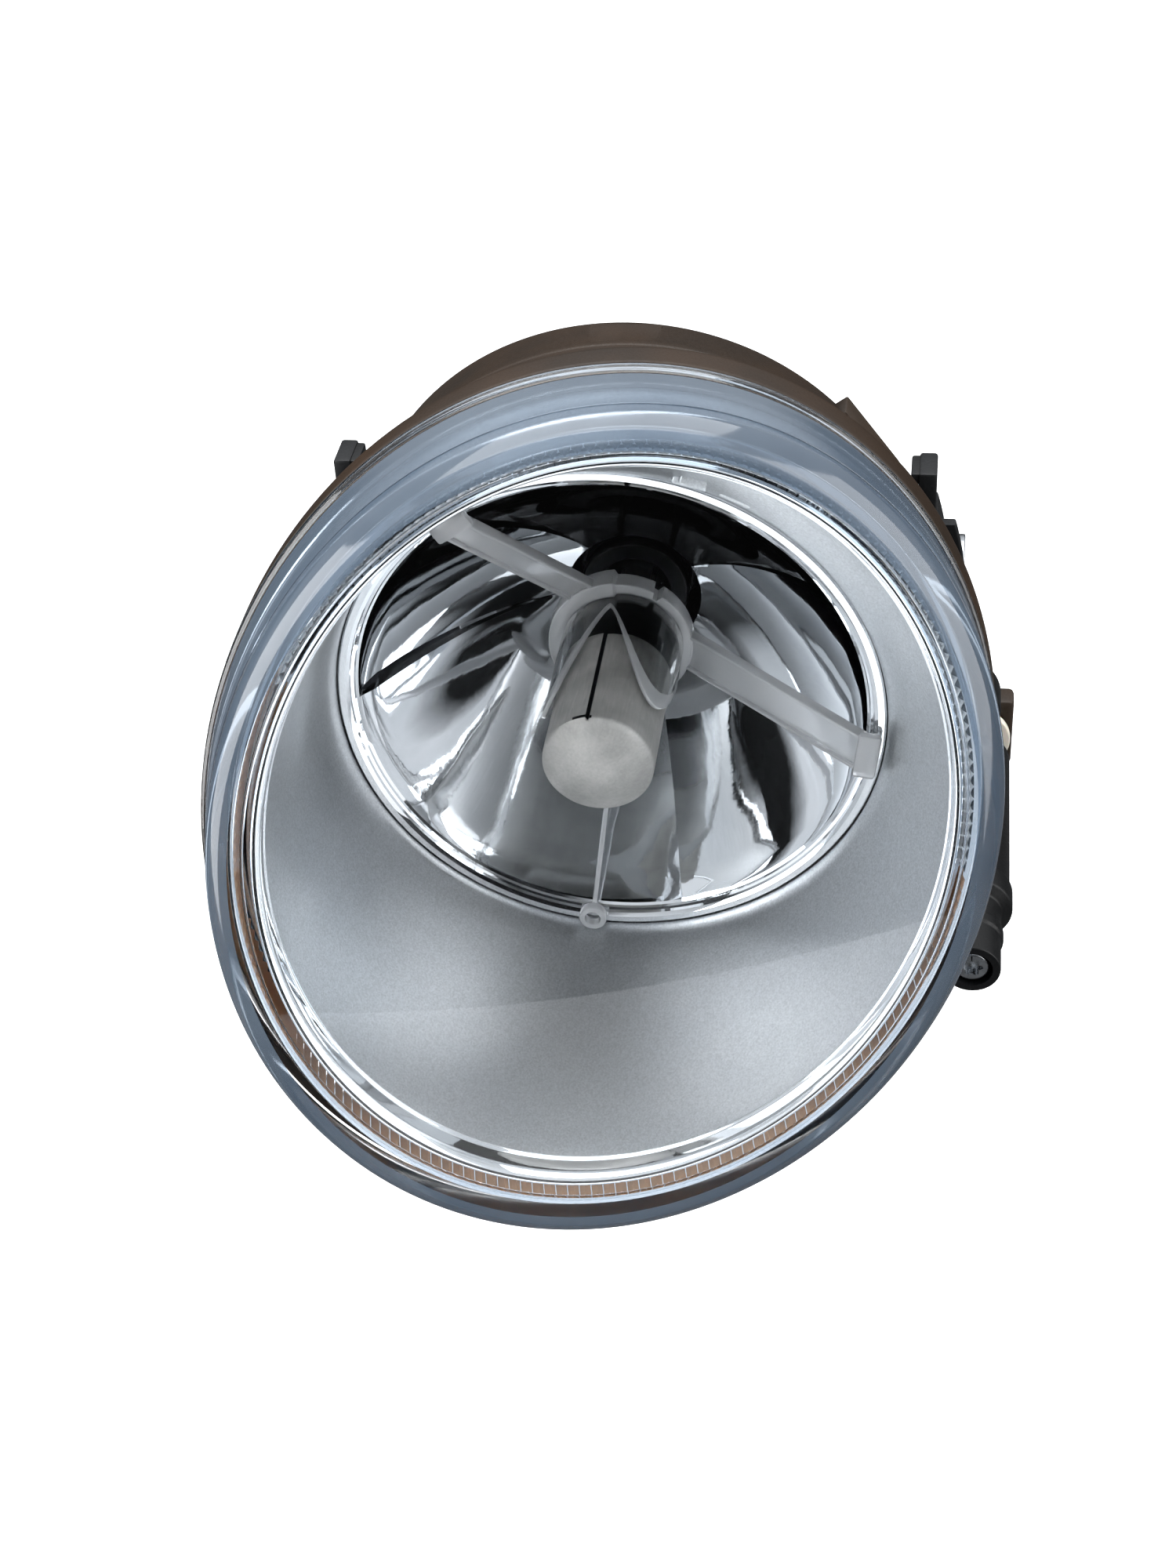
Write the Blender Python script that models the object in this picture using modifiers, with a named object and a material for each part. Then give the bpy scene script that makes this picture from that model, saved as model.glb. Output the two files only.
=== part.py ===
"""Round front fog light: a sealed lamp unit that tilts in a U-shaped carrier to aim the beam.

Everything is modelled in the optical frame: x right, y up and z forward along the beam, with its
origin where the optical axis crosses the plane of the three fixing ears. The empty optical_frame
turns that frame so that the beam points along -Y and the top of the lamp is +Z.
"""

import math

import bmesh
import bpy
import numpy
from mathutils import Matrix, Vector

SEGMENTS = 48
GAP = 0.0003

# Lens. Its rim plane leans back at the top (rake) and on the right (sweep), and its front is
# shifted a little to the right.
LENS_RADIUS = 0.0590
LENS_FOOT_RADIUS = 0.0600
LENS_INNER_RADIUS = 0.0554
LENS_DOME = 0.0040
LENS_SKIRT = 0.0115
RIM_Z = 0.0775
FOOT_Z = RIM_Z - LENS_SKIRT
RAKE = math.radians(22.0)
SWEEP = math.radians(11.5)
FOOT_SHIFT = 0.0012
RIM_SHIFT = 0.0037

# Reflector: a paraboloid whose focus holds the filament.
MOUTH_RADIUS = 0.0420
MOUTH_Z = 0.0460
FOCAL_LENGTH = 0.0118
VERTEX_Z = MOUTH_Z - MOUTH_RADIUS**2 / (4 * FOCAL_LENGTH)
REFLECTOR_NECK = 0.0115

# Bulb shield and its clear holder
SHIELD_RADIUS = 0.0088
SHIELD_BACK_Z = MOUTH_Z - 0.0095
SHIELD_TIP_Z = MOUTH_Z + 0.0172
SHIELD_DOME = 0.0035
COLLAR_Z = 0.0248
ARM_ANGLES = (123.0, 264.0, 352.0)

# Housing
HOUSING_WALL = 0.0022
FLANGE_Z = RIM_Z - 0.0175
DRUM_FRONT_RADIUS = 0.0540
DRUM_BACK_RADIUS = 0.0474
DRUM_BACK_Z = 0.0040
NECK_BORE = 0.0176
NECK_END_Z = -0.0185
VENT_SPOT = (-0.0270, 0.0130)

# Carrier: a U-shaped band below the lamp, with its pivots near the top ends.
BAND_INNER = 0.0500
BAND_OUTER = 0.0530
BAND_BACK_Z = 0.0005
BAND_FRONT_Z = 0.0110
BAND_TOP = 0.0150
WEB_Z = BAND_BACK_Z + 0.0006
EAR_CIRCLE = 0.0615
EAR_RADIUS = 0.0075
EAR_THICKNESS = 0.0065
EAR_ANGLES = {"left": 205.0, "lower": 270.0, "right": 335.0}
PIVOT_Y = 0.0040
PIVOT_Z = 0.0038
EYE_X = 0.0492
EYE_LENGTH = 0.0043

# Aim adjuster
SCREW_X = 0.0594
SCREW_Y = -0.0407
SCREW_ANGLE = math.degrees(math.atan2(SCREW_Y, SCREW_X))
SCREW_REACH = math.hypot(SCREW_X, SCREW_Y)
SHANK_RADIUS = 0.0023
HEAD_Z = 0.0548
NUT_Z = -0.0100
ARM_HALF = 0.0025

COLOURS = {
    "clear": ((0.80, 0.86, 0.90), 0.05, 0.0),
    "black_plastic": ((0.030, 0.027, 0.025), 0.55, 0.0),
    "chrome": ((0.85, 0.86, 0.88), 0.04, 1.0),
    "satin_silver": ((0.62, 0.64, 0.67), 0.35, 1.0),
    "grey_cap": ((0.42, 0.41, 0.40), 0.45, 0.8),
    "zinc": ((0.60, 0.62, 0.63), 0.35, 1.0),
    "black_rubber": ((0.02, 0.02, 0.02), 0.8, 0.0),
    "sealant": ((0.25, 0.28, 0.32), 0.6, 0.0),
    "nylon": ((0.75, 0.74, 0.70), 0.5, 0.0),
    "bulb_base": ((0.08, 0.08, 0.09), 0.6, 0.0),
    "tungsten": ((0.35, 0.34, 0.33), 0.4, 1.0),
}


# Scene and material helpers

def clear_scene():
    for obj in list(bpy.data.objects):
        bpy.data.objects.remove(obj)


def make_collection(name):
    group = bpy.data.collections.new(name)
    bpy.context.scene.collection.children.link(group)
    return group


def make_material(name):
    colour, roughness, metallic = COLOURS[name]
    material = bpy.data.materials.get(name) or bpy.data.materials.new(name)
    material.use_nodes = True
    shader = material.node_tree.nodes["Principled BSDF"]
    shader.inputs["Base Color"].default_value = (*colour, 1.0)
    shader.inputs["Roughness"].default_value = roughness
    shader.inputs["Metallic"].default_value = metallic
    return material


def add_object(name, mesh, group="parts"):
    obj = bpy.data.objects.new(name, mesh)
    groups[group].objects.link(obj)
    obj.parent = optical_frame
    if group == "tools":
        obj.hide_render = True
        obj.display_type = "WIRE"
    return obj


def finish(obj, material):
    obj.data.materials.clear()
    obj.data.materials.append(make_material(material))
    if obj.type == "MESH":
        obj.data.shade_smooth()
        obj.data.set_sharp_from_angle(angle=math.radians(30))
    return obj


# Shape helpers. Each makes a solid in the optical frame.

def applied(obj):
    """A copy of the object with its modifiers or curve made into one welded mesh that faces out."""
    bpy.context.view_layer.update()
    graph = bpy.context.evaluated_depsgraph_get()
    mesh = bpy.data.meshes.new_from_object(obj.evaluated_get(graph))
    work = bmesh.new()
    work.from_mesh(mesh)
    bmesh.ops.remove_doubles(work, verts=work.verts, dist=0.00001)
    bmesh.ops.recalc_face_normals(work, faces=work.faces)
    work.to_mesh(mesh)
    work.free()
    name, group = obj.name, "tools" if obj.hide_render else "parts"
    bpy.data.objects.remove(obj)
    return add_object(name, mesh, group)


def turned(name, section, group="parts", steps=SEGMENTS):
    """A section of (radius, z) points turned round the optical axis."""
    mesh = bpy.data.meshes.new(name)
    count = len(section)
    last = count - 1 if section[0][0] == 0 else count
    edges = [(i, (i + 1) % count) for i in range(last)]
    mesh.from_pydata([(r, 0.0, z) for r, z in section], edges, [])
    obj = add_object(name, mesh, group)
    screw = obj.modifiers.new("turn", "SCREW")
    screw.axis = "Z"
    screw.steps = screw.render_steps = steps
    screw.use_merge_vertices = True
    screw.merge_threshold = 0.00001
    return applied(obj)


def placed(obj, x=0.0, y=0.0, z=0.0, turn=None):
    """Moves the mesh itself, after an optional turn matrix, so that Booleans share one frame."""
    obj.data.transform(Matrix.Translation((x, y, z)) @ (turn or Matrix.Identity(4)))
    return obj


def box(name, low, high, group="tools", angle=0.0):
    """A box between two corners, swung by angle degrees round the optical axis."""
    work = bmesh.new()
    bmesh.ops.create_cube(work, size=1.0)
    size = Vector(high) - Vector(low)
    middle = (Vector(high) + Vector(low)) / 2
    bmesh.ops.scale(work, vec=size, verts=work.verts)
    bmesh.ops.translate(work, vec=middle, verts=work.verts)
    swing = Matrix.Rotation(math.radians(angle), 3, "Z")
    bmesh.ops.rotate(work, cent=(0, 0, 0), matrix=swing, verts=work.verts)
    mesh = bpy.data.meshes.new(name)
    work.to_mesh(mesh)
    work.free()
    return add_object(name, mesh, group)


def rod(name, radius, start_z, end_z, group="tools", steps=24):
    """A cylinder on the optical axis."""
    work = bmesh.new()
    depth = end_z - start_z
    middle = Matrix.Translation((0, 0, (start_z + end_z) / 2))
    bmesh.ops.create_cone(
        work, cap_ends=True, segments=steps, radius1=radius, radius2=radius, depth=depth, matrix=middle
    )
    mesh = bpy.data.meshes.new(name)
    work.to_mesh(mesh)
    work.free()
    return add_object(name, mesh, group)


def tube(name, outer, inner, start_z, end_z, group="parts", steps=24):
    return turned(name, [(outer, end_z), (outer, start_z), (inner, start_z), (inner, end_z)], group, steps)


def combine(target, operation, *tools):
    for tool in tools:
        modifier = target.modifiers.new(tool.name, "BOOLEAN")
        modifier.operation = operation
        modifier.solver = "EXACT"
        modifier.object = tool
    return target


def join(target, *tools):
    return combine(target, "UNION", *tools)


def cut(target, *tools):
    return combine(target, "DIFFERENCE", *tools)


def lean(obj, heights, shares, shifts):
    """Tilts a solid to the rim plane and shifts it sideways, by the share and the shift at each height."""
    for vertex in obj.data.vertices:
        height = vertex.co.z
        slope = vertex.co.y * math.tan(RAKE) + vertex.co.x * math.tan(SWEEP)
        vertex.co.z -= float(numpy.interp(height, heights, shares)) * slope
        vertex.co.x += float(numpy.interp(height, heights, shifts))
    return obj


def along_x(obj, side, x, y, z):
    """Points a solid that was turned on the optical axis outwards, to the side's own x direction."""
    return placed(obj, side * x, y, z, Matrix.Rotation(side * math.radians(90), 4, "Y"))


def on_circle(radius, angle):
    return radius * math.cos(math.radians(angle)), radius * math.sin(math.radians(angle))


# Optical parts

def front_of_lens(radius):
    shoulder = LENS_RADIUS - 0.0040
    return RIM_Z + 0.0036 + LENS_DOME * (1 - (radius / shoulder) ** 2)


def build_lens():
    """Domed front, rounded shoulder, skirt, and a tongue that stands in the housing's channel."""
    steps = 3
    shoulder = LENS_RADIUS - 0.0040
    front = [(shoulder * i / steps, front_of_lens(shoulder * i / steps)) for i in range(steps + 1)]
    arc = [math.radians(a) for a in (60, 30, 0)]
    edge = [(shoulder + 0.0040 * math.cos(a), RIM_Z - 0.0004 + 0.0040 * math.sin(a)) for a in arc]
    foot = [
        (LENS_FOOT_RADIUS - 0.0004, FOOT_Z + 0.0012),
        (LENS_FOOT_RADIUS, FOOT_Z),
        (0.0583, FOOT_Z),
        (0.0583, FOOT_Z - 0.0025),
        (0.0558, FOOT_Z - 0.0025),
        (LENS_INNER_RADIUS, FOOT_Z),
    ]
    seat = LENS_INNER_RADIUS - 0.0004
    back = [(LENS_INNER_RADIUS, RIM_Z - 0.0003)]
    back += [(seat * i / steps, front_of_lens(seat * i / steps) - 0.0030) for i in range(steps, -1, -1)]
    lens = turned("lens", front + edge + foot + back)
    return finish(lean(lens, (FOOT_Z, RIM_Z), (1, 1), (FOOT_SHIFT, RIM_SHIFT)), "clear")


def build_gasket():
    top, bottom = FOOT_Z - 0.0028, FOOT_Z - 0.0037
    gasket = turned("lens_gasket", [(0.0583, top), (0.0583, bottom), (0.0558, bottom), (0.0558, top)])
    return finish(lean(gasket, (0, FOOT_Z), (1, 1), (FOOT_SHIFT, FOOT_SHIFT)), "sealant")


def build_bezel():
    """The satin wall between the reflector's mouth and the lens rim, with its rolled front edge."""
    section = [
        (MOUTH_RADIUS + 0.0022, MOUTH_Z + GAP),
        (0.0478, (MOUTH_Z + RIM_Z - 0.001) / 2),
        (0.0511, RIM_Z - 0.0010),
        (0.0516, RIM_Z - 0.0001),
        (0.0524, RIM_Z + 0.0002),
        (0.0533, RIM_Z - 0.0008),
        (0.0533, RIM_Z - 0.0060),
        (0.0525, RIM_Z - 0.0060),
        (0.0522, RIM_Z - 0.0036),
        (MOUTH_RADIUS + 0.0042, MOUTH_Z - 0.0018),
        (MOUTH_RADIUS + 0.0022, MOUTH_Z - 0.0018),
    ]
    bezel = turned("bezel", section)
    return finish(lean(bezel, (MOUTH_Z, RIM_Z - 0.0010), (0, 1), (0, RIM_SHIFT)), "satin_silver")


def bowl(radius):
    return VERTEX_Z + radius**2 / (4 * FOCAL_LENGTH)


def build_reflector():
    steps = 5
    lip = MOUTH_RADIUS + 0.0020
    neck_outer = REFLECTOR_NECK + 0.0020
    inside = [
        REFLECTOR_NECK + (MOUTH_RADIUS - REFLECTOR_NECK) * i / steps for i in range(steps + 1)
    ]
    outside = [MOUTH_RADIUS + (neck_outer - MOUTH_RADIUS) * i / steps for i in range(steps + 1)]
    section = [(r, bowl(r)) for r in inside]
    section += [(lip, MOUTH_Z), (lip, MOUTH_Z - 0.0024)]
    section += [(r, bowl(r) - 0.0026) for r in outside]
    section += [(neck_outer, 0.0030), (REFLECTOR_NECK, 0.0030)]
    return finish(turned("reflector", section), "chrome")


# Bulb shield and its clear holder

def build_shield():
    """A thin metal cup with a domed end, which keeps direct light off the lens."""
    wall = 0.0005
    shoulder = SHIELD_TIP_Z - SHIELD_DOME
    arc = [math.radians(a) for a in (90, 65, 40, 15)]
    dome = [(SHIELD_RADIUS * math.cos(a), shoulder + SHIELD_DOME * math.sin(a)) for a in arc]
    dome[0] = (0, SHIELD_TIP_Z)
    side = [(SHIELD_RADIUS, shoulder - 0.001), (SHIELD_RADIUS, SHIELD_BACK_Z)]
    inside = [(SHIELD_RADIUS - wall, SHIELD_BACK_Z), (SHIELD_RADIUS - wall, shoulder - 0.001)]
    inside += [(r * 0.93, z - wall) for r, z in reversed(dome)]
    return finish(turned("bulb_shield", dome + side + inside, steps=32), "grey_cap")


def arm(index, angle):
    """One arm from the collar out to the reflector's mouth, with its foot on the mouth's lip."""
    start, end = Vector((0.0102, 0.0, COLLAR_Z)), Vector((0.0418, 0.0, MOUTH_Z + 0.0010))
    length = (end - start).length
    bar = box(f"arm_{index}", (0, -0.0024, -0.0008), (length, 0.0024, 0.0008))
    slope = Matrix.Rotation(-math.atan2(end.z - start.z, end.x - start.x), 4, "Y")
    swing = Matrix.Rotation(math.radians(angle), 4, "Z")
    bar.data.transform(swing @ Matrix.Translation(start) @ slope)
    foot = box(
        f"foot_{index}", (0.0405, -0.0030, MOUTH_Z + GAP), (0.0434, 0.0030, MOUTH_Z + 0.0018), angle=angle
    )
    return bar, foot


def build_shield_holder():
    """Clear collar round the bulb, with three arms out to the mouth and three fingers for the shield."""
    inner, outer = SHIELD_RADIUS + 0.0005, SHIELD_RADIUS + 0.0020
    holder = tube("shield_holder", outer + 0.0008, inner, COLLAR_Z - 0.0018, COLLAR_Z + 0.0018)
    tip = SHIELD_TIP_Z - 0.0080
    pieces = [tube("holder_front_ring", outer, inner, tip - 0.0026, tip, "tools")]
    for index, angle in enumerate(ARM_ANGLES):
        pieces += arm(index, angle)
        finger = (inner + 0.0001, -0.0026, COLLAR_Z), (outer - 0.0001, 0.0026, tip - 0.0010)
        pieces.append(box(f"finger_{index}", *finger, angle=angle))
    return finish(join(holder, *pieces), "clear")


# Bulb

def build_bulb_glass():
    radius, wall, tip = 0.0058, 0.0008, 0.0465
    arc = [math.radians(a) for a in (60, 30, 0)]
    start = 0.0042
    centre = tip - radius
    outside = [(0, tip)] + [(radius * math.cos(a), centre + radius * math.sin(a)) for a in arc]
    inner = radius - wall
    inside = [(inner * math.cos(a), centre + inner * math.sin(a)) for a in reversed(arc)]
    section = outside + [(radius, start), (inner, start)] + inside + [(0, tip - wall)]
    return finish(turned("bulb_glass", section, steps=24), "clear")


def build_filament():
    """Two lead wires and the coil between them, here as one plain wire."""
    lead = 0.0026
    points = [(lead, 0.0048), (lead, 0.0172), (0, 0.0186), (0, 0.0232), (-lead, 0.0250), (-lead, 0.0048)]
    curve = bpy.data.curves.new("filament", "CURVE")
    curve.dimensions = "3D"
    curve.bevel_depth = 0.00045
    curve.bevel_resolution = 2
    curve.use_fill_caps = True
    spline = curve.splines.new("POLY")
    spline.points.add(len(points) - 1)
    for point, (x, z) in zip(spline.points, points):
        point.co = (x, 0.0, z, 1.0)
    return finish(add_object("filament", curve), "tungsten")


def build_ferrule():
    section = [(0.0090, 0.0104), (0.0092, 0.0098), (0.0092, 0.0038), (0.0062, 0.0038), (0.0062, 0.0104)]
    return finish(turned("bulb_ferrule", section, steps=24), "zinc")


def build_bulb_base():
    """The plastic base: nose, bayonet lugs, flange and a two-pin socket that faces down."""
    section = [
        (0, 0.0034),
        (0.0100, 0.0034),
        (0.0100, -0.0060),
        (0.0132, -0.0060),
        (0.0132, -0.0122),
        (0.0141, -0.0122),
        (0.0141, NECK_END_Z - GAP),
        (0.0205, NECK_END_Z - GAP),
        (0.0205, -0.0220),
        (0.0130, -0.0220),
        (0.0130, -0.0330),
        (0, -0.0330),
    ]
    base = turned("bulb_base", section, steps=32)
    lugs = [
        box(f"lug_{angle}", (0.0120, -0.0040, -0.0085), (0.0166, 0.0040, -0.0060), angle=angle)
        for angle in (30, 150, 270)
    ]
    socket = box("socket_body", (-0.0105, -0.0300, -0.0375), (0.0105, 0.0020, -0.0235))
    hollow = box("socket_hollow", (-0.0085, -0.0320, -0.0355), (0.0085, -0.0180, -0.0255))
    return finish(cut(join(base, *lugs, socket), hollow), "bulb_base")


def build_o_ring():
    major, minor, centre = 0.0159, 0.0014, -0.0153
    arc = [math.tau * i / 8 for i in range(8)]
    section = [(major + minor * math.cos(a), centre - minor * math.sin(a)) for a in arc]
    return finish(turned("bulb_o_ring", section, steps=32), "black_rubber")


def build_terminal(name, x):
    blade = box(name, (x - 0.0014, -0.0265, -0.0345), (x + 0.0014, -0.0180 - GAP, -0.0337), "parts")
    return finish(blade, "zinc")


# Housing

def housing_shell():
    """Neck, round back, drum and the flange with the channel that takes the lens."""
    neck_outer = 0.0215
    section = [
        (LENS_FOOT_RADIUS, FOOT_Z - GAP),
        (LENS_FOOT_RADIUS, FLANGE_Z),
        (DRUM_FRONT_RADIUS, FLANGE_Z),
        (DRUM_BACK_RADIUS, DRUM_BACK_Z),
        (DRUM_BACK_RADIUS - 0.0030, DRUM_BACK_Z - 0.0035),
        (0.0260, -0.0035),
        (neck_outer, -0.0050),
        (neck_outer, NECK_END_Z),
        (NECK_BORE, NECK_END_Z),
        (NECK_BORE, -0.0032),
        (0.0225, -0.0012),
        (DRUM_BACK_RADIUS - 0.0042, 0.0024),
        (DRUM_BACK_RADIUS - HOUSING_WALL, DRUM_BACK_Z + 0.0007),
        (DRUM_FRONT_RADIUS - HOUSING_WALL, FLANGE_Z + 0.0012),
        (0.0536, FLANGE_Z + 0.0040),
        (0.0536, FOOT_Z - 0.0006),
        (0.0550, FOOT_Z - 0.0006),
        (0.0555, FOOT_Z - 0.0040),
        (0.0586, FOOT_Z - 0.0040),
        (0.0586, FOOT_Z - GAP),
    ]
    return lean(turned("housing", section), (DRUM_BACK_Z, FLANGE_Z), (0, 1), (0, FOOT_SHIFT))


def build_housing():
    shell = housing_shell()
    solids = [
        box(f"keeper_{angle}", (0.0137, -0.0055, -0.0115), (0.0190, 0.0055, -0.0090), angle=angle)
        for angle in (30, 150, 270)
    ]
    holes = []
    for side, name in ((-1, "left"), (1, "right")):
        trunnion = rod(f"trunnion_{name}", 0.0050, 0.0, 0.0040)
        solids.append(along_x(trunnion, side, EYE_X - 0.0045, PIVOT_Y, PIVOT_Z))
        hole = rod(f"pin_hole_{name}", SHANK_RADIUS + GAP, 0.0, 0.0080)
        holes.append(along_x(hole, side, EYE_X - 0.0036, PIVOT_Y, PIVOT_Z))
    solids.append(box("top_pad", (-0.0059, 0.0400, 0.0040), (0.0059, 0.0484, 0.0140)))
    solids.append(box("ledge", (0.0430, -0.0075, 0.0045), (0.0495, 0.0075, 0.0100), angle=36))
    low, high = NUT_Z - ARM_HALF, NUT_Z + ARM_HALF
    beam = (0.0300, -0.0045, low + GAP), (SCREW_REACH - 0.006, 0.0045, high - GAP)
    riser = (0.0308, -0.0040, NUT_Z), (0.0385, 0.0040, -0.0010)
    solids.append(box("arm_beam", *beam, angle=SCREW_ANGLE))
    solids.append(box("arm_riser", *riser, angle=SCREW_ANGLE))
    solids.append(box("arm_pad", (-0.0066, -0.0072, low), (0.0066, 0.0072, high)))
    placed(solids[-1], SCREW_X, SCREW_Y)
    slot = box("nut_slot", (-0.0043, -0.0052, -0.01), (0.0043, 0.0052, 0.01))
    holes.append(placed(slot, SCREW_X, SCREW_Y, NUT_Z))
    solids.append(placed(rod("vent_nipple", 0.0030, -0.0095, -0.0010, steps=16), *VENT_SPOT))
    holes.append(placed(rod("vent_hole", 0.0014, -0.0120, 0.0050, steps=12), *VENT_SPOT))
    return finish(cut(join(shell, *solids), *holes), "black_plastic")


def build_vent_cap():
    section = [(0, -0.0122), (0.0046, -0.0122), (0.0053, -0.0115), (0.0053, -0.0045)]
    section += [(0.0034, -0.0045), (0.0034, -0.0100), (0, -0.0100)]
    return finish(placed(turned("vent_cap", section, steps=20), *VENT_SPOT), "black_rubber")


def build_pivot(side, name):
    """The steel pin that the housing turns on and the bush that holds it in the carrier."""
    shank = 0.0086
    head = [(SHANK_RADIUS, shank), (0.0042, shank), (0.0042, shank + 0.0012), (0, shank + 0.0012)]
    section = list(reversed([(0, 0), (SHANK_RADIUS, 0), *head]))
    pin = turned(f"pivot_pin_{name}", section, steps=20)
    finish(along_x(pin, side, EYE_X - 0.0033, PIVOT_Y, PIVOT_Z), "zinc")
    bush = tube(f"pivot_bush_{name}", 0.0036, SHANK_RADIUS + GAP, 0.0, EYE_LENGTH + 0.0004, steps=20)
    finish(along_x(bush, side, EYE_X, PIVOT_Y, PIVOT_Z), "nylon")


# Carrier and adjuster

def ear(name, angle):
    x, y = on_circle(EAR_CIRCLE, angle)
    boss = placed(rod(f"ear_{name}", EAR_RADIUS, 0.0, EAR_THICKNESS), x, y)
    web = box(f"ear_web_{name}", (0.0510, -0.0068, WEB_Z), (EAR_CIRCLE, 0.0068, 0.0060), angle=angle)
    hole = placed(rod(f"ear_hole_{name}", 0.0049, -0.002, 0.010), x, y)
    return (boss, web), hole


def build_carrier():
    lip = BAND_FRONT_Z - 0.0020
    section = [
        (0.0560, BAND_FRONT_Z),
        (0.0560, lip),
        (BAND_OUTER, lip),
        (BAND_OUTER, BAND_BACK_Z),
        (BAND_INNER, BAND_BACK_Z),
        (BAND_INNER, BAND_FRONT_Z),
    ]
    carrier = cut(turned("carrier", section), box("open_top", (-0.08, BAND_TOP, -0.02), (0.08, 0.08, 0.03)))
    solids, holes = [], []
    for name, angle in EAR_ANGLES.items():
        pads, hole = ear(name, angle)
        solids += pads
        holes.append(hole)
    for side, name in ((-1, "left"), (1, "right")):
        solids.append(along_x(rod(f"eye_{name}", 0.0058, 0.0, EYE_LENGTH), side, EYE_X, PIVOT_Y, PIVOT_Z))
        hook_low, hook_high = sorted((side * 0.0476, side * 0.0506))
        solids.append(box(f"hook_{name}", (hook_low, 0.0135, WEB_Z), (hook_high, 0.0230, 0.0085)))
        bore = rod(f"pivot_bore_{name}", 0.0039, -0.002, 0.008)
        holes.append(along_x(bore, side, EYE_X, PIVOT_Y, PIVOT_Z))
    front, step = HEAD_Z + 0.0030, HEAD_Z - 0.0115
    sleeve = [(0, front), (0.0047, front), (0.0047, step), (0.0066, step - 0.001), (0.0066, BAND_BACK_Z)]
    solids.append(placed(turned("sleeve", [*sleeve, (0, BAND_BACK_Z)], "tools", 24), SCREW_X, SCREW_Y))
    web = (0.0510, -0.0030, WEB_Z), (SCREW_REACH, 0.0030, 0.0200)
    solids.append(box("sleeve_web", *web, angle=SCREW_ANGLE))
    holes.append(placed(rod("shank_bore", SHANK_RADIUS + GAP, -0.002, 0.060, steps=20), SCREW_X, SCREW_Y))
    holes.append(placed(rod("head_bore", 0.0034, HEAD_Z - GAP, 0.065, steps=20), SCREW_X, SCREW_Y))
    return finish(cut(join(carrier, *solids), *holes), "black_plastic")


def build_ear_bush(name, angle):
    x, y = on_circle(EAR_CIRCLE, angle)
    bush = tube(f"ear_bush_{name}", 0.0046, 0.0033, 0.0, EAR_THICKNESS, steps=20)
    finish(placed(bush, x, y), "zinc")


def drive_cutter():
    """A six-lobed star for the screw's recess."""
    corners = 24
    outline = bpy.data.curves.new("drive", "CURVE")
    outline.dimensions = "2D"
    outline.fill_mode = "BOTH"
    outline.extrude = 0.0010
    spline = outline.splines.new("POLY")
    spline.points.add(corners - 1)
    for index, point in enumerate(spline.points):
        angle = math.tau * index / corners
        reach = 0.00155 + 0.00030 * math.cos(6 * angle)
        point.co = (reach * math.cos(angle), reach * math.sin(angle), 0.0, 1.0)
    spline.use_cyclic_u = True
    return applied(add_object("drive", outline, "tools"))


def build_adjuster():
    """Screw, its push-on washer behind the carrier, and the spool nut in the housing's arm."""
    top, end = HEAD_Z + 0.0024, -0.0200
    section = [(0, top), (0.0026, top), (0.0029, top - 0.0004), (0.0029, HEAD_Z)]
    section += [(SHANK_RADIUS, HEAD_Z), (SHANK_RADIUS, end), (0.0016, end - 0.0012), (0, end - 0.0012)]
    screw = placed(turned("adjuster_screw", section, steps=24), SCREW_X, SCREW_Y)
    finish(cut(screw, placed(drive_cutter(), SCREW_X, SCREW_Y, top)), "zinc")
    bore = SHANK_RADIUS + GAP
    washer = tube("adjuster_washer", 0.0050, bore, BAND_BACK_Z - GAP - 0.0012, BAND_BACK_Z - GAP, steps=20)
    finish(placed(washer, SCREW_X, SCREW_Y), "zinc")
    reach, waist, flange = ARM_HALF + 0.0021, ARM_HALF + 0.0006, 0.0062
    spool = [(flange, reach), (flange, waist), (0.0037, waist), (0.0037, -waist), (flange, -waist)]
    spool += [(flange, -reach), (bore, -reach), (bore, reach)]
    finish(placed(turned("adjuster_nut", spool, steps=24), SCREW_X, SCREW_Y, NUT_Z), "nylon")


def main():
    build_lens()
    build_gasket()
    build_bezel()
    build_reflector()
    build_shield()
    build_shield_holder()
    build_bulb_glass()
    build_filament()
    build_ferrule()
    build_bulb_base()
    build_o_ring()
    build_terminal("terminal_left", -0.0036)
    build_terminal("terminal_right", 0.0036)
    build_housing()
    build_vent_cap()
    build_pivot(-1, "left")
    build_pivot(1, "right")
    build_carrier()
    for name, angle in EAR_ANGLES.items():
        build_ear_bush(name, angle)
    build_adjuster()


clear_scene()
groups = {"parts": make_collection("fog_light"), "tools": make_collection("cutters")}
optical_frame = bpy.data.objects.new("optical_frame", None)
groups["parts"].objects.link(optical_frame)
optical_frame.rotation_euler = (math.radians(90), 0.0, 0.0)
main()
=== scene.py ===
import math
import bmesh
import bpy
from mathutils import Matrix, Vector


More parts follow.
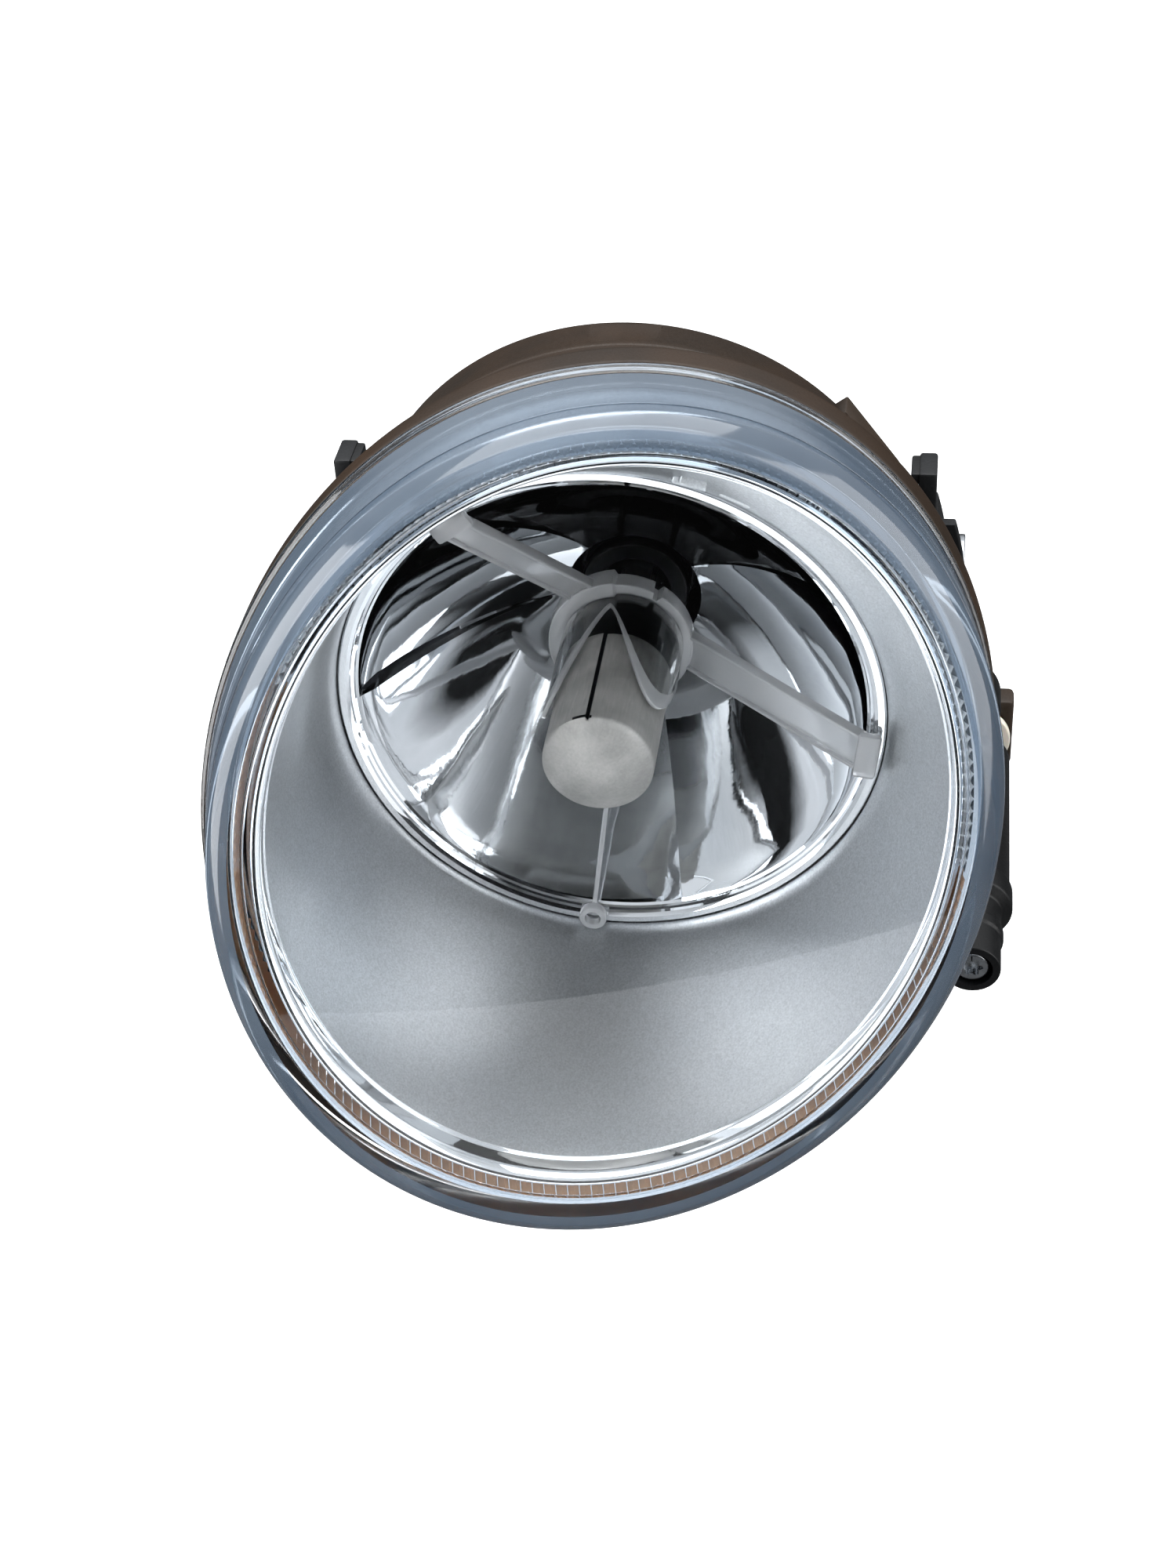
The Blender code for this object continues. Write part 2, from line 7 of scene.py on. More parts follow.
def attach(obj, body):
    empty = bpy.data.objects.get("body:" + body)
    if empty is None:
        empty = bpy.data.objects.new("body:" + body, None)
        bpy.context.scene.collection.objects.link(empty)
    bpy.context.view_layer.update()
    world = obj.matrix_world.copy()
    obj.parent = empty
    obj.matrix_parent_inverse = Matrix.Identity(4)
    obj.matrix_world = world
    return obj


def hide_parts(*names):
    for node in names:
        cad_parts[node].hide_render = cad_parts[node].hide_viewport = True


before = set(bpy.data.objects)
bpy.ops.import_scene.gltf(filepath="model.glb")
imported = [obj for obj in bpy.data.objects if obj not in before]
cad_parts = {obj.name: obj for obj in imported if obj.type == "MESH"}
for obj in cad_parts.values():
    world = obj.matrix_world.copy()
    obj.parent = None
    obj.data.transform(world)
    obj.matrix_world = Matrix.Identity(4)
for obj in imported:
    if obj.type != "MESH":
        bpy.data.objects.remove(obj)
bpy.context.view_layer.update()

# Pieces are drawn in millimetres in the lamp's own frame: x right, y up, z along the beam.
# This matrix takes that frame to the part's frame, in metres.
lampToPart = Matrix.Rotation(math.radians(90), 4, "X") @ Matrix.Scale(0.001, 4)
scene = bpy.context.scene


# Materials: one function adds a node and one makes every finish

def linear(hexColour):
    # sRGB hex to the linear colour that shaders work in
    parts = [int(hexColour[i:i + 2], 16) / 255 for i in (1, 3, 5)]
    return (*[p / 12.92 if p <= 0.04045 else ((p + 0.055) / 1.055) ** 2.4 for p in parts], 1.0)


def addNode(tree, kind, values=None, links=None, **settings):
    node = tree.nodes.new(kind)
    for key, value in settings.items():
        setattr(node, key, value)
    for key, value in (values or {}).items():
        node.inputs[key].default_value = value
    for key, socket in (links or {}).items():
        tree.links.new(socket, node.inputs[key])
    return node


def makeFinish(name, look):
    # A finish from its real sizes: patches of tone, surface grain, flecks and lighter edges.
    words = "".join("_" + letter.lower() if letter.isupper() else letter for letter in name)
    material = bpy.data.materials.new(words)
    material.use_nodes = True
    tree = material.node_tree
    shader = tree.nodes["Principled BSDF"]
    for key, value in look["shader"].items():
        shader.inputs[key].default_value = value
    place = addNode(tree, "ShaderNodeTexCoord")
    spot = addNode(tree, "ShaderNodeMapping", {"Scale": look.get("stretch", (1, 1, 1))},
                   {"Vector": place.outputs["Object"]})
    patches = addNode(tree, "ShaderNodeTexNoise", {"Scale": 1000 / look["patchMm"], "Detail": 3.0},
                      {"Vector": place.outputs["Object"]})
    tone = addNode(tree, "ShaderNodeMix", {"A": linear(look["colour"]), "B": linear(look["shade"])},
                   {}, data_type="RGBA")
    level = addNode(tree, "ShaderNodeMapRange", {"From Min": 0.35, "From Max": 0.7},
                    {"Value": patches.outputs["Fac"]})
    tree.links.new(level.outputs["Result"], tone.inputs["Factor"])
    colour = tone.outputs["Result"]
    grain = addNode(tree, "ShaderNodeTexNoise", {"Scale": 1000 / look["grainMm"], "Detail": 4.0},
                    {"Vector": spot.outputs["Vector"]})
    height = grain.outputs["Fac"]
    if "fleckMm" in look:
        flecks = addNode(tree, "ShaderNodeTexVoronoi", {"Scale": 1000 / look["fleckMm"]},
                         {"Vector": spot.outputs["Vector"]})
        spread = addNode(tree, "ShaderNodeMapRange", {"To Min": 1 - look["fleck"], "To Max": 1.0},
                         {"Value": flecks.outputs["Color"]})
        flecked = addNode(tree, "ShaderNodeMix", {"Factor": 1.0}, {"A": colour,
                          "B": spread.outputs["Result"]}, data_type="RGBA", blend_type="MULTIPLY")
        colour = flecked.outputs["Result"]
    if "worn" in look:
        shape = addNode(tree, "ShaderNodeNewGeometry")
        edges = addNode(tree, "ShaderNodeMapRange", {"From Min": 0.52, "From Max": 0.62,
                        "To Max": look["wear"]}, {"Value": shape.outputs["Pointiness"]})
        rubbed = addNode(tree, "ShaderNodeMix", {"B": linear(look["worn"])},
                         {"A": colour, "Factor": edges.outputs["Result"]}, data_type="RGBA")
        colour = rubbed.outputs["Result"]
    tree.links.new(colour, shader.inputs["Base Color"])
    low, high = look["roughness"]
    rough = addNode(tree, "ShaderNodeMapRange", {"From Min": 0.3, "From Max": 0.7, "To Min": low,
                    "To Max": high}, {"Value": grain.outputs["Fac"]})
    tree.links.new(rough.outputs["Result"], shader.inputs["Roughness"])
    fine = addNode(tree, "ShaderNodeBump", {"Strength": look["relief"], "Distance": look["reliefMm"] / 1000},
                   {"Height": height})
    if "waveMm" in look:
        waves = addNode(tree, "ShaderNodeTexNoise", {"Scale": 1000 / look["waveMm"], "Detail": 1.0},
                        {"Vector": place.outputs["Object"]})
        broad = addNode(tree, "ShaderNodeBump", {"Strength": look["wave"], "Distance": 0.0004},
                        {"Height": waves.outputs["Fac"]})
        tree.links.new(broad.outputs["Normal"], fine.inputs["Normal"])
    tree.links.new(fine.outputs["Normal"], shader.inputs["Normal"])
    return material


looks = {
    # Injection-moulded polycarbonate with a hard coat: glassy, faintly blue, with slow flow waves
    "clearPolycarbonate": {
        "colour": "#fbfcfd", "shade": "#f7fafc", "patchMm": 40, "grainMm": 6, "roughness": (0.0, 0.015),
        "relief": 0.05, "reliefMm": 0.02,
        "shader": {"Transmission Weight": 1.0, "IOR": 1.585}},
    # The thick edge of the lens, tinted blue-grey: a painted reflection of the cool surroundings that the
    # thick plastic shows
    "edgePolycarbonate": {
        "colour": "#7f8fa0", "shade": "#68798c", "patchMm": 26, "grainMm": 5, "roughness": (0.05, 0.12),
        "relief": 0.06, "reliefMm": 0.03,
        "shader": {"Transmission Weight": 0.66, "IOR": 1.585}},
    # The same plastic with its moulded flutes, tinted warm: a painted reflection of the warm surroundings
    # below them
    "flutedPolycarbonate": {
        "colour": "#fbcda2", "shade": "#eeb888", "patchMm": 30, "grainMm": 4, "roughness": (0.05, 0.12),
        "relief": 0.1, "reliefMm": 0.03,
        "shader": {"Transmission Weight": 0.5, "IOR": 1.585}},
    # Polycarbonate off a satin tool face: clear, but milky on its broad sides
    "satinPolycarbonate": {
        "colour": "#fcfcfd", "shade": "#f2f4f6", "patchMm": 8, "grainMm": 0.8, "roughness": (0.10, 0.24),
        "relief": 0.25, "reliefMm": 0.04,
        "shader": {"Transmission Weight": 0.55, "IOR": 1.585}},
    # Aluminium evaporated on lacquer: mirror bright, with the lacquer's orange peel
    "vacuumChrome": {
        "colour": "#f2f4f6", "shade": "#e6e9ec", "patchMm": 25, "grainMm": 1.2, "roughness": (0.015, 0.05),
        "relief": 0.10, "reliefMm": 0.03, "waveMm": 9, "wave": 0.10,
        "shader": {"Metallic": 1.0}},
    # The same metal darkened for the upper facet, so it stays dark: a painted dark reflection of the neck and
    # bulb it faces
    "smokedChrome": {
        "colour": "#191a1c", "shade": "#101112", "patchMm": 16, "grainMm": 1.2, "roughness": (0.02, 0.06),
        "relief": 0.10, "reliefMm": 0.03, "waveMm": 9, "wave": 0.10,
        "shader": {"Metallic": 1.0}},
    # The same metal on an etched tool face: a soft sheen with a fine sparkle
    "satinAluminium": {
        "colour": "#e4e6e8", "shade": "#d9dcdf", "patchMm": 30, "grainMm": 0.35, "roughness": (0.34, 0.50),
        "relief": 0.45, "reliefMm": 0.03, "fleckMm": 0.22, "fleck": 0.28, "waveMm": 14, "wave": 0.05,
        "shader": {"Metallic": 1.0}},
    # Drawn steel with a dull nickel flash: grey, with faint lines along the draw
    "drawnSteel": {
        "colour": "#cbc9c5", "shade": "#b2b0ac", "patchMm": 5, "grainMm": 0.5, "roughness": (0.42, 0.6),
        "stretch": (1, 0.12, 1), "relief": 0.35, "reliefMm": 0.04, "fleckMm": 0.3, "fleck": 0.15,
        "shader": {"Metallic": 0.45}},
    # Glass-filled housing plastic: brown-black with spark-eroded grain and grey rubbed edges
    "housingPlastic": {
        "colour": "#2b1e12", "shade": "#1d150d", "patchMm": 18, "grainMm": 0.45, "roughness": (0.38, 0.56),
        "relief": 0.5, "reliefMm": 0.05, "worn": "#4c4239", "wear": 0.4, "waveMm": 20, "wave": 0.06,
        "shader": {"IOR": 1.5, "Specular IOR Level": 0.3}},
    # Black glass-filled nylon: flatter and a little shinier on its edges
    "blackNylon": {
        "colour": "#0e0f10", "shade": "#08090a", "patchMm": 12, "grainMm": 0.5, "roughness": (0.36, 0.54),
        "relief": 0.45, "reliefMm": 0.05, "worn": "#2b2d30", "wear": 0.45,
        "shader": {"IOR": 1.53, "Specular IOR Level": 0.25}},
    # Zinc-plated steel: pale grey with small crystal patches
    "zincSteel": {
        "colour": "#c4c8cc", "shade": "#a9adb1", "patchMm": 3, "grainMm": 0.4, "roughness": (0.22, 0.38),
        "relief": 0.2, "reliefMm": 0.03, "fleckMm": 0.9, "fleck": 0.18,
        "shader": {"Metallic": 1.0}},
    # Blacked steel: heat-proof black oxide with a low sheen
    "blackedSteel": {
        "colour": "#26272a", "shade": "#1a1b1d", "patchMm": 3, "grainMm": 0.3, "roughness": (0.35, 0.5),
        "relief": 0.2, "reliefMm": 0.02,
        "shader": {"Metallic": 0.7}},
    # Unfilled nylon: ivory and slightly translucent
    "naturalNylon": {
        "colour": "#e0dccf", "shade": "#cfc9b8", "patchMm": 6, "grainMm": 0.6, "roughness": (0.35, 0.5),
        "relief": 0.25, "reliefMm": 0.04,
        "shader": {"IOR": 1.53, "Subsurface Weight": 0.15, "Subsurface Scale": 0.002}},
    # Moulded EPDM: matt black, faintly dusty
    "blackRubber": {
        "colour": "#1b1b1c", "shade": "#262627", "patchMm": 4, "grainMm": 0.35, "roughness": (0.62, 0.82),
        "relief": 0.4, "reliefMm": 0.04,
        "shader": {"IOR": 1.52}},
    # Hot-melt sealant: amber brown and waxy
    "amberSealant": {
        "colour": "#a77c55", "shade": "#8b6442", "patchMm": 7, "grainMm": 1.0, "roughness": (0.3, 0.5),
        "relief": 0.4, "reliefMm": 0.1,
        "shader": {"IOR": 1.5, "Subsurface Weight": 0.2, "Subsurface Scale": 0.002}},
    # Quartz tube: clear, with faint drawing lines
    "quartzGlass": {
        "colour": "#fbfcfc", "shade": "#f4f7f8", "patchMm": 10, "grainMm": 3, "roughness": (0.0, 0.02),
        "relief": 0.05, "reliefMm": 0.02, "stretch": (1, 0.2, 1),
        "shader": {"Transmission Weight": 1.0, "IOR": 1.46}},
    # The bulb's black glare coat: dip-painted, nearly matt; the same black also paints shade in the shield's
    # slit and notch and in the holder's sleeve
    "blackCoat": {
        "colour": "#0b0b0c", "shade": "#151516", "patchMm": 3, "grainMm": 0.5, "roughness": (0.3, 0.45),
        "relief": 0.3, "reliefMm": 0.03,
        "shader": {"IOR": 1.5, "Specular IOR Level": 0.12}},
    # Drawn tungsten: dark grey metal with fine lines
    "tungsten": {
        "colour": "#8c8a87", "shade": "#6f6d6a", "patchMm": 1, "grainMm": 0.2, "roughness": (0.3, 0.45),
        "relief": 0.2, "reliefMm": 0.01,
        "shader": {"Metallic": 1.0}},
    # Tinned brass: pale and a little streaky
    "tinnedBrass": {
        "colour": "#cfcbc2", "shade": "#b5b0a4", "patchMm": 1.5, "grainMm": 0.3, "roughness": (0.22, 0.36),
        "relief": 0.2, "reliefMm": 0.02, "stretch": (1, 1, 0.15),
        "shader": {"Metallic": 1.0}},
    # Heat-proof moulded base plastic: charcoal with a faint swirl
    "basePlastic": {
        "colour": "#2c2e31", "shade": "#222427", "patchMm": 9, "grainMm": 0.4, "roughness": (0.42, 0.6),
        "relief": 0.4, "reliefMm": 0.04, "worn": "#55585c", "wear": 0.4,
        "shader": {"IOR": 1.6}},
}
finishes = {name: makeFinish(name, look) for name, look in looks.items()}
print("finishes made:", len(finishes))


# Shapes

def addObject(name, data):
    obj = bpy.data.objects.new(name, data)
    scene.collection.objects.link(obj)
    return obj


def onCircle(radius, angle):
    return radius * math.cos(math.radians(angle)), radius * math.sin(math.radians(angle))


def rounded(section, radius=0.4, steps=3):
    # Fillets the corners of a section of (radius, z) or (radius, z, finish) points.
    closed = section[0][0] != 0
    result, count = [], len(section)
    for index, point in enumerate(section):
        finish = point[2] if len(point) > 2 else 0
        if not closed and index in (0, count - 1):
            result.append((point[0], point[1], finish))
            continue
        here = Vector(point[:2])
        back = Vector(section[index - 1][:2]) - here
        ahead = Vector(section[(index + 1) % count][:2]) - here
        if back.angle(ahead) > math.radians(165):
            result.append((here.x, here.y, finish))
            continue
        reach = min(radius, back.length * 0.45, ahead.length * 0.45)
        start, end = here + back.normalized() * reach, here + ahead.normalized() * reach
        for step in range(steps + 1):
            t = step / steps
            spot = start.lerp(here, t).lerp(here.lerp(end, t), t)
            result.append((spot.x, spot.y, finish))
    return result


def spun(section, steps=144, warp=None, turns=None):
    # Turns a section round the axis. warp(angle, radius, z) may shape it on the way.
    work = bmesh.new()
    turns = turns or [360 * i / steps for i in range(steps)]
    count, rings = len(turns), []
    for point in section:
        r, z = point[:2]
        if r == 0:
            rings.append([work.verts.new((0, 0, z))] * count)
            continue
        ring = []
        for angle in turns:
            wide, high = warp(angle, r, z) if warp else (r, z)
            ring.append(work.verts.new((*onCircle(wide, angle), high)))
        rings.append(ring)
    onAxis = section[0][0] == 0
    for index in range(len(section) - 1 if onAxis else len(section)):
        here, there = rings[index], rings[(index + 1) % len(section)]
        finish = section[index][2] if len(section[index]) > 2 else 0
        for k in range(count):
            corners = [here[k], here[k - 1], there[k - 1], there[k]]
            corners = list(dict.fromkeys(corners))
            if len(corners) > 2:
                work.faces.new(corners).material_index = finish
    bmesh.ops.recalc_face_normals(work, faces=work.faces)
    return work


def disc(radius, top, low, steps, edge=0.0):
    # A plain cylinder, with eased rims if an edge is given.
    section = [(0, top), (radius, top), (radius, low), (0, low)]
    return spun(rounded(section, edge) if edge else section, steps)


def sleeve(outer, inner, top, low, steps, edge, warp=None):
    # A plain tube with eased rims.
    return spun(rounded([(outer, top), (outer, low), (inner, low), (inner, top)], edge), steps, warp)


def lofted(rings):
    # A closed solid through rings of points.
    work = bmesh.new()
    rings = [[work.verts.new(spot) for spot in ring] for ring in rings]
    for here, there in zip(rings, rings[1:]):
        for k in range(len(here)):
            work.faces.new([here[k], here[k - 1], there[k - 1], there[k]])
    work.faces.new(rings[0])
    work.faces.new(list(reversed(rings[-1])))
    bmesh.ops.recalc_face_normals(work, faces=work.faces)
    return work


def block(low, high, edge=0.35, angle=0.0, steps=2):
    # A box with eased edges between two corners, swung round the axis.
    work = bmesh.new()
    bmesh.ops.create_cube(work, size=1.0)
    bmesh.ops.scale(work, vec=Vector(high) - Vector(low), verts=work.verts)
    bmesh.ops.translate(work, vec=(Vector(high) + Vector(low)) / 2, verts=work.verts)
    if edge:
        bmesh.ops.bevel(work, geom=work.edges[:], offset=edge, segments=steps, profile=0.5, affect="EDGES")
    return moved(work, Matrix.Rotation(math.radians(angle), 4, "Z"))


def moved(work, matrix):
    bmesh.ops.transform(work, matrix=matrix, verts=work.verts)
    return work


def shifted(work, x=0.0, y=0.0, z=0.0):
    return moved(work, Matrix.Translation((x, y, z)))


def pivoted(work, side, x):
    # Points a turned shape outwards along x at the lamp's pivots.
    turn = Matrix.Rotation(side * math.radians(90), 4, "Y")
    return moved(work, Matrix.Translation((side * x, pivot["y"], pivot["z"])) @ turn)


def leaned(work, heights, shares, shifts):
    # Slopes a shape to the rim's plane: full slope where the share is 1, and moved sideways by the shift.
    for vertex in work.verts:
        t = (vertex.co.z - heights[0]) / (heights[1] - heights[0])
        t = min(max(t, 0.0), 1.0)
        slope = vertex.co.y * math.tan(rim["rake"]) + vertex.co.x * math.tan(rim["sweep"])
        vertex.co.z -= (shares[0] + (shares[1] - shares[0]) * t) * slope
        vertex.co.x += shifts[0] + (shifts[1] - shifts[0]) * t
    return work


def meshFrom(name, works):
    mesh = bpy.data.meshes.new(name)
    whole = bmesh.new()
    for work in works:
        part = bpy.data.meshes.new("part")
        work.to_mesh(part)
        work.free()
        whole.from_mesh(part)
        bpy.data.meshes.remove(part)
    whole.to_mesh(mesh)
    whole.free()
    return mesh


def solidFrom(obj, gap):
    # An object's finished shape as a plain solid, with points nearer than the gap merged.
    bpy.context.view_layer.update()
    graph = bpy.context.evaluated_depsgraph_get()
    mesh = bpy.data.meshes.new_from_object(obj.evaluated_get(graph))
    work = bmesh.new()
    work.from_mesh(mesh)
    bpy.data.meshes.remove(mesh)
    bmesh.ops.remove_doubles(work, verts=work.verts, dist=gap)
    return work


def fused(first, joins=(), cuts=()):
    # Joins and cuts solids, and gives back one closed solid.
    base = addObject("base", meshFrom("base", [first]))
    tools = []
    for kind, works in (("UNION", joins), ("DIFFERENCE", cuts)):
        for work in works:
            tool = addObject("tool", meshFrom("tool", [work]))
            tools.append(tool)
            modifier = base.modifiers.new("fuse", "BOOLEAN")
            modifier.operation, modifier.solver, modifier.object = kind, "EXACT", tool
    work = solidFrom(base, 0.002)
    for obj in [base, *tools]:
        bpy.data.objects.remove(obj)
    return work


def addPiece(name, works, finish, body, replaced, crease=35):
    mesh = meshFrom(name, works)
    mesh.transform(lampToPart)
    obj = addObject(name, mesh)
    for look in finish:
        mesh.materials.append(finishes[look])
    mesh.shade_smooth()
    mesh.set_sharp_from_angle(angle=math.radians(crease))
    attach(obj, body)
    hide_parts(*replaced)


# Node trees: a ring of bars, used for flutes, grips and stiffeners, and a wound wire

def openTree(name, sockets):
    tree = bpy.data.node_groups.new(name, "GeometryNodeTree")
    tree.interface.new_socket("Geometry", in_out="OUTPUT", socket_type="NodeSocketGeometry")
    for socket, kind in {**sockets, "Finish": "Material"}.items():
        tree.interface.new_socket(socket, in_out="INPUT", socket_type="NodeSocket" + kind)
    return tree, addNode(tree, "NodeGroupInput").outputs


def closeTree(tree, given, shape):
    # Makes the shape's copies real, gives them their finish and sends them out.
    solid = addNode(tree, "GeometryNodeRealizeInstances", {}, {"Geometry": shape})
    painted = addNode(tree, "GeometryNodeSetMaterial", {}, {"Geometry": solid.outputs[0],
                      "Material": given["Finish"]})
    addNode(tree, "NodeGroupOutput", {}, {"Geometry": painted.outputs[0]})
    return tree


def ringTree():
    tree, given = openTree("ring_of_bars", {
        "Count": "Int", "Radius": "Float", "Sides": "Int", "Depth": "Float", "Width": "Float",
        "Length": "Float", "Height": "Float"})
    circle = addNode(tree, "GeometryNodeMeshCircle", {}, {"Vertices": given["Count"],
                     "Radius": given["Radius"]})
    bar = addNode(tree, "GeometryNodeMeshCylinder", {"Radius": 1.0},
                  {"Vertices": given["Sides"], "Depth": given["Length"]}, fill_type="NGON")
    place = addNode(tree, "GeometryNodeInputPosition")
    inward = addNode(tree, "ShaderNodeVectorMath", {"Scale": -1.0}, {0: place.outputs[0]}, operation="SCALE")
    facing = addNode(tree, "FunctionNodeAlignRotationToVector", {}, {"Vector": inward.outputs[0]}, axis="X")
    size = addNode(tree, "ShaderNodeCombineXYZ", {"Z": 1.0}, {"X": given["Depth"], "Y": given["Width"]})
    bars = addNode(tree, "GeometryNodeInstanceOnPoints", {}, {"Points": circle.outputs["Mesh"],
                   "Instance": bar.outputs["Mesh"], "Rotation": facing.outputs[0], "Scale": size.outputs[0]})
    lift = addNode(tree, "ShaderNodeCombineXYZ", {}, {"Z": given["Height"]})
    raised = addNode(tree, "GeometryNodeTransform", {}, {"Geometry": bars.outputs[0],
                     "Translation": lift.outputs[0]})
    return closeTree(tree, given, raised.outputs[0])


def coilTree():
    tree, given = openTree("wound_coil", {"Turns": "Float", "Radius": "Float", "Length": "Float",
                                          "Wire": "Float"})
    spiral = addNode(tree, "GeometryNodeCurveSpiral", {"Resolution": 18}, {
        "Rotations": given["Turns"], "Start Radius": given["Radius"], "End Radius": given["Radius"],
        "Height": given["Length"]})
    wire = addNode(tree, "GeometryNodeCurvePrimitiveCircle", {"Resolution": 8}, {"Radius": given["Wire"]})
    wound = addNode(tree, "GeometryNodeCurveToMesh", {"Fill Caps": True}, {"Curve": spiral.outputs[0],
                    "Profile Curve": wire.outputs[0]})
    return closeTree(tree, given, wound.outputs[0])


def grown(tree, values, finish):
    # Runs a node tree with the given values and gives its result back as a plain solid.
    seed = addObject("seed", bpy.data.meshes.new("seed"))
    modifier = seed.modifiers.new("grow", "NODES")
    modifier.node_group = tree
    for item in tree.interface.items_tree:
        if item.in_out == "INPUT":
            modifier[item.identifier] = finishes[finish] if item.name == "Finish" else values[item.name]
    work = solidFrom(seed, 0.001)
    seed.modifiers.remove(modifier)
    bpy.data.objects.remove(seed)
    bmesh.ops.recalc_face_normals(work, faces=work.faces)
    for face in work.faces:
        face.material_index = 0
    return work


barRing, woundCoil = ringTree(), coilTree()

rim = {"rake": math.radians(22.0), "sweep": math.radians(11.5), "z": 77.5, "foot": 66.0,
       "footShift": 1.2, "shift": 3.7}
pivot = {"y": 4.0, "z": 3.8, "eye": 49.2, "eyeLength": 4.3}
adjust = {"x": 59.4, "y": -40.7, "head": 54.8, "nut": -10.0, "shank": 2.3}
adjust["angle"] = math.degrees(math.atan2(adjust["y"], adjust["x"]))
adjust["reach"] = math.hypot(adjust["x"], adjust["y"])


# Lens

lens = {"domeRadius": 55.0, "dome": 4.0, "front": 81.1, "wall": 3.0, "shoulder": 4.0, "inner": 55.4,
        "flutes": 190, "fluteDepth": 0.44, "fluteWidth": 0.98, "fluteLength": 8.6, "fluteZ": 71.4,
        "plainAbove": 8.0, "plainSlope": 0.35}


def domeHeight(radius):
    return lens["front"] + lens["dome"] * (1 - (radius / lens["domeRadius"]) ** 2)


def thin(work, unwanted):
    # Takes out the bars whose points are unwanted.
    touched = [vertex for vertex in work.verts if unwanted(vertex.co)]
    bars = {v for vertex in touched for face in vertex.link_faces for v in face.verts}
    bmesh.ops.delete(work, geom=list(bars), context="VERTS")


def buildLens():
    steps, shoulder, wide = 26, lens["shoulder"], lens["domeRadius"]
    # the second finish, whose blue-grey is a painted reflection, starts at the dome's last point and covers
    # the round edge and the wall
    front = [(wide * i / steps, domeHeight(wide * i / steps), int(i == steps)) for i in range(steps + 1)]
    arc = [math.radians(a) for a in range(75, -1, -12)]
    edge = [(wide + shoulder * math.cos(a), lens["front"] - shoulder + shoulder * math.sin(a), 1)
            for a in arc]
    skirt = rounded([(0, 0), (59.0, 76.0, 1), (59.3, 69.2, 1), (59.35, 67.6), (60.0, 67.2), (60.0, 66.0),
                     (58.3, 66.0), (58.3, 63.5), (55.8, 63.5), (55.4, 66.0), (55.4, 76.2), (54.8, 77.5),
                     (53.4, 78.2), (0, 0)], 0.3)[1:-1]
    back = [(53.0 * i / steps, domeHeight(53.0 * i / steps) - lens["wall"]) for i in range(steps, -1, -1)]
    shell = spun(front + edge + skirt + back, 192)
    leaned(shell, (rim["foot"], rim["z"]), (1, 1), (rim["footShift"], rim["shift"]))
    addPiece("lens_shell", [shell], ["clearPolycarbonate", "edgePolycarbonate"], "lamp", ["lens"])
    # the flutes' warm tint is a painted reflection
    flutes = grown(barRing, {
        "Count": lens["flutes"], "Radius": lens["inner"] - 0.03 - lens["fluteDepth"] / 2, "Sides": 3,
        "Depth": lens["fluteDepth"], "Width": lens["fluteWidth"], "Length": lens["fluteLength"],
        "Height": lens["fluteZ"]}, "flutedPolycarbonate")
    # the lens's upper side is plain
    thin(flutes, lambda spot: spot.y > lens["plainAbove"] - spot.x * lens["plainSlope"])
    leaned(flutes, (rim["foot"], rim["z"]), (1, 1), (rim["footShift"], rim["shift"]))
    addPiece("lens_flutes", [flutes], ["flutedPolycarbonate"], "lamp", [])


def buildGasket():
    bead = sleeve(58.3, 55.8, 63.2, 62.3, 144, 0.25)
    leaned(bead, (0, 66), (1, 1), (rim["footShift"], rim["footShift"]))
    addPiece("sealant_bead", [bead], ["amberSealant"], "lamp", ["lens_gasket"])


buildLens()
buildGasket()
print("lens made")


# Bezel and reflector

bezel = {"mouth": 46.0, "teeth": 190, "clipAngle": 74, "clipZ": (54.5, 59.5)}


def buildBezel():
    section = [(44.2, 46.3), (45.1, 50.0), (46.6, 56.0), (47.9, 61.8), (49.2, 67.6), (50.3, 73.4),
               (50.55, 74.8, 1), (50.8, 75.0, 1), (50.85, 76.2, 1), (51.05, 76.95, 1), (51.4, 77.4, 1),
               (51.85, 77.5, 1), (52.3, 77.25, 1), (52.5, 76.6, 1), (52.7, 75.4), (53.3, 75.0), (53.3, 71.5),
               (52.5, 71.5), (52.0, 74.0), (46.2, 44.2), (44.2, 44.2)]
    wall = spun(rounded(section, 0.25), 192)
    low, high = bezel["clipZ"]
    angle = bezel["clipAngle"]
    clips = [block((46.2, -2.6, low), (48.6, 2.6, high), 0.3, angle),
             block((46.9, -2.0, high + 0.8), (49.2, 2.0, high + 3.6), 0.3, angle),
             block((45.4, -3.3, low - 4.6), (47.4, 1.6, low - 1.2), 0.3, angle - 9)]
    works = [wall, *clips]
    for work in works:
        leaned(work, (bezel["mouth"], 76.5), (0, 1), (0, rim["shift"]))

    def skirtWarp(angle, r, z):
        # the skirt stops short where the lens's flutes show
        drop = 7.5 * min(max((10 - 54 * math.sin(math.radians(angle + 20))) / 8, 0), 1)
        return r, max(z - drop, min(z, 66.6 + (z - 66.3) * 0.15))

    section = rounded([(54.75, 66.3), (54.3, 75.6), (53.7, 76.2), (53.5, 75.6), (54.1, 66.3)], 0.2)
    skirt = spun(section, 192, skirtWarp)
    teeth = grown(barRing, {"Count": bezel["teeth"], "Radius": 53.95, "Sides": 3, "Depth": 0.55,
                            "Width": 0.95, "Length": 1.7, "Height": 76.2}, "vacuumChrome")
    thin(teeth, lambda spot: spot.y < lens["plainAbove"] - spot.x * lens["plainSlope"])
    for work in (skirt, teeth):
        leaned(work, (rim["foot"], rim["z"]), (1, 1), (rim["footShift"], rim["shift"]))
    addPiece("rim_skirt", [skirt], ["satinAluminium"], "lamp", [])
    addPiece("rim_teeth", [teeth], ["vacuumChrome"], "lamp", [])
    addPiece("bezel_wall", works, ["satinAluminium", "vacuumChrome"], "lamp", ["bezel"])


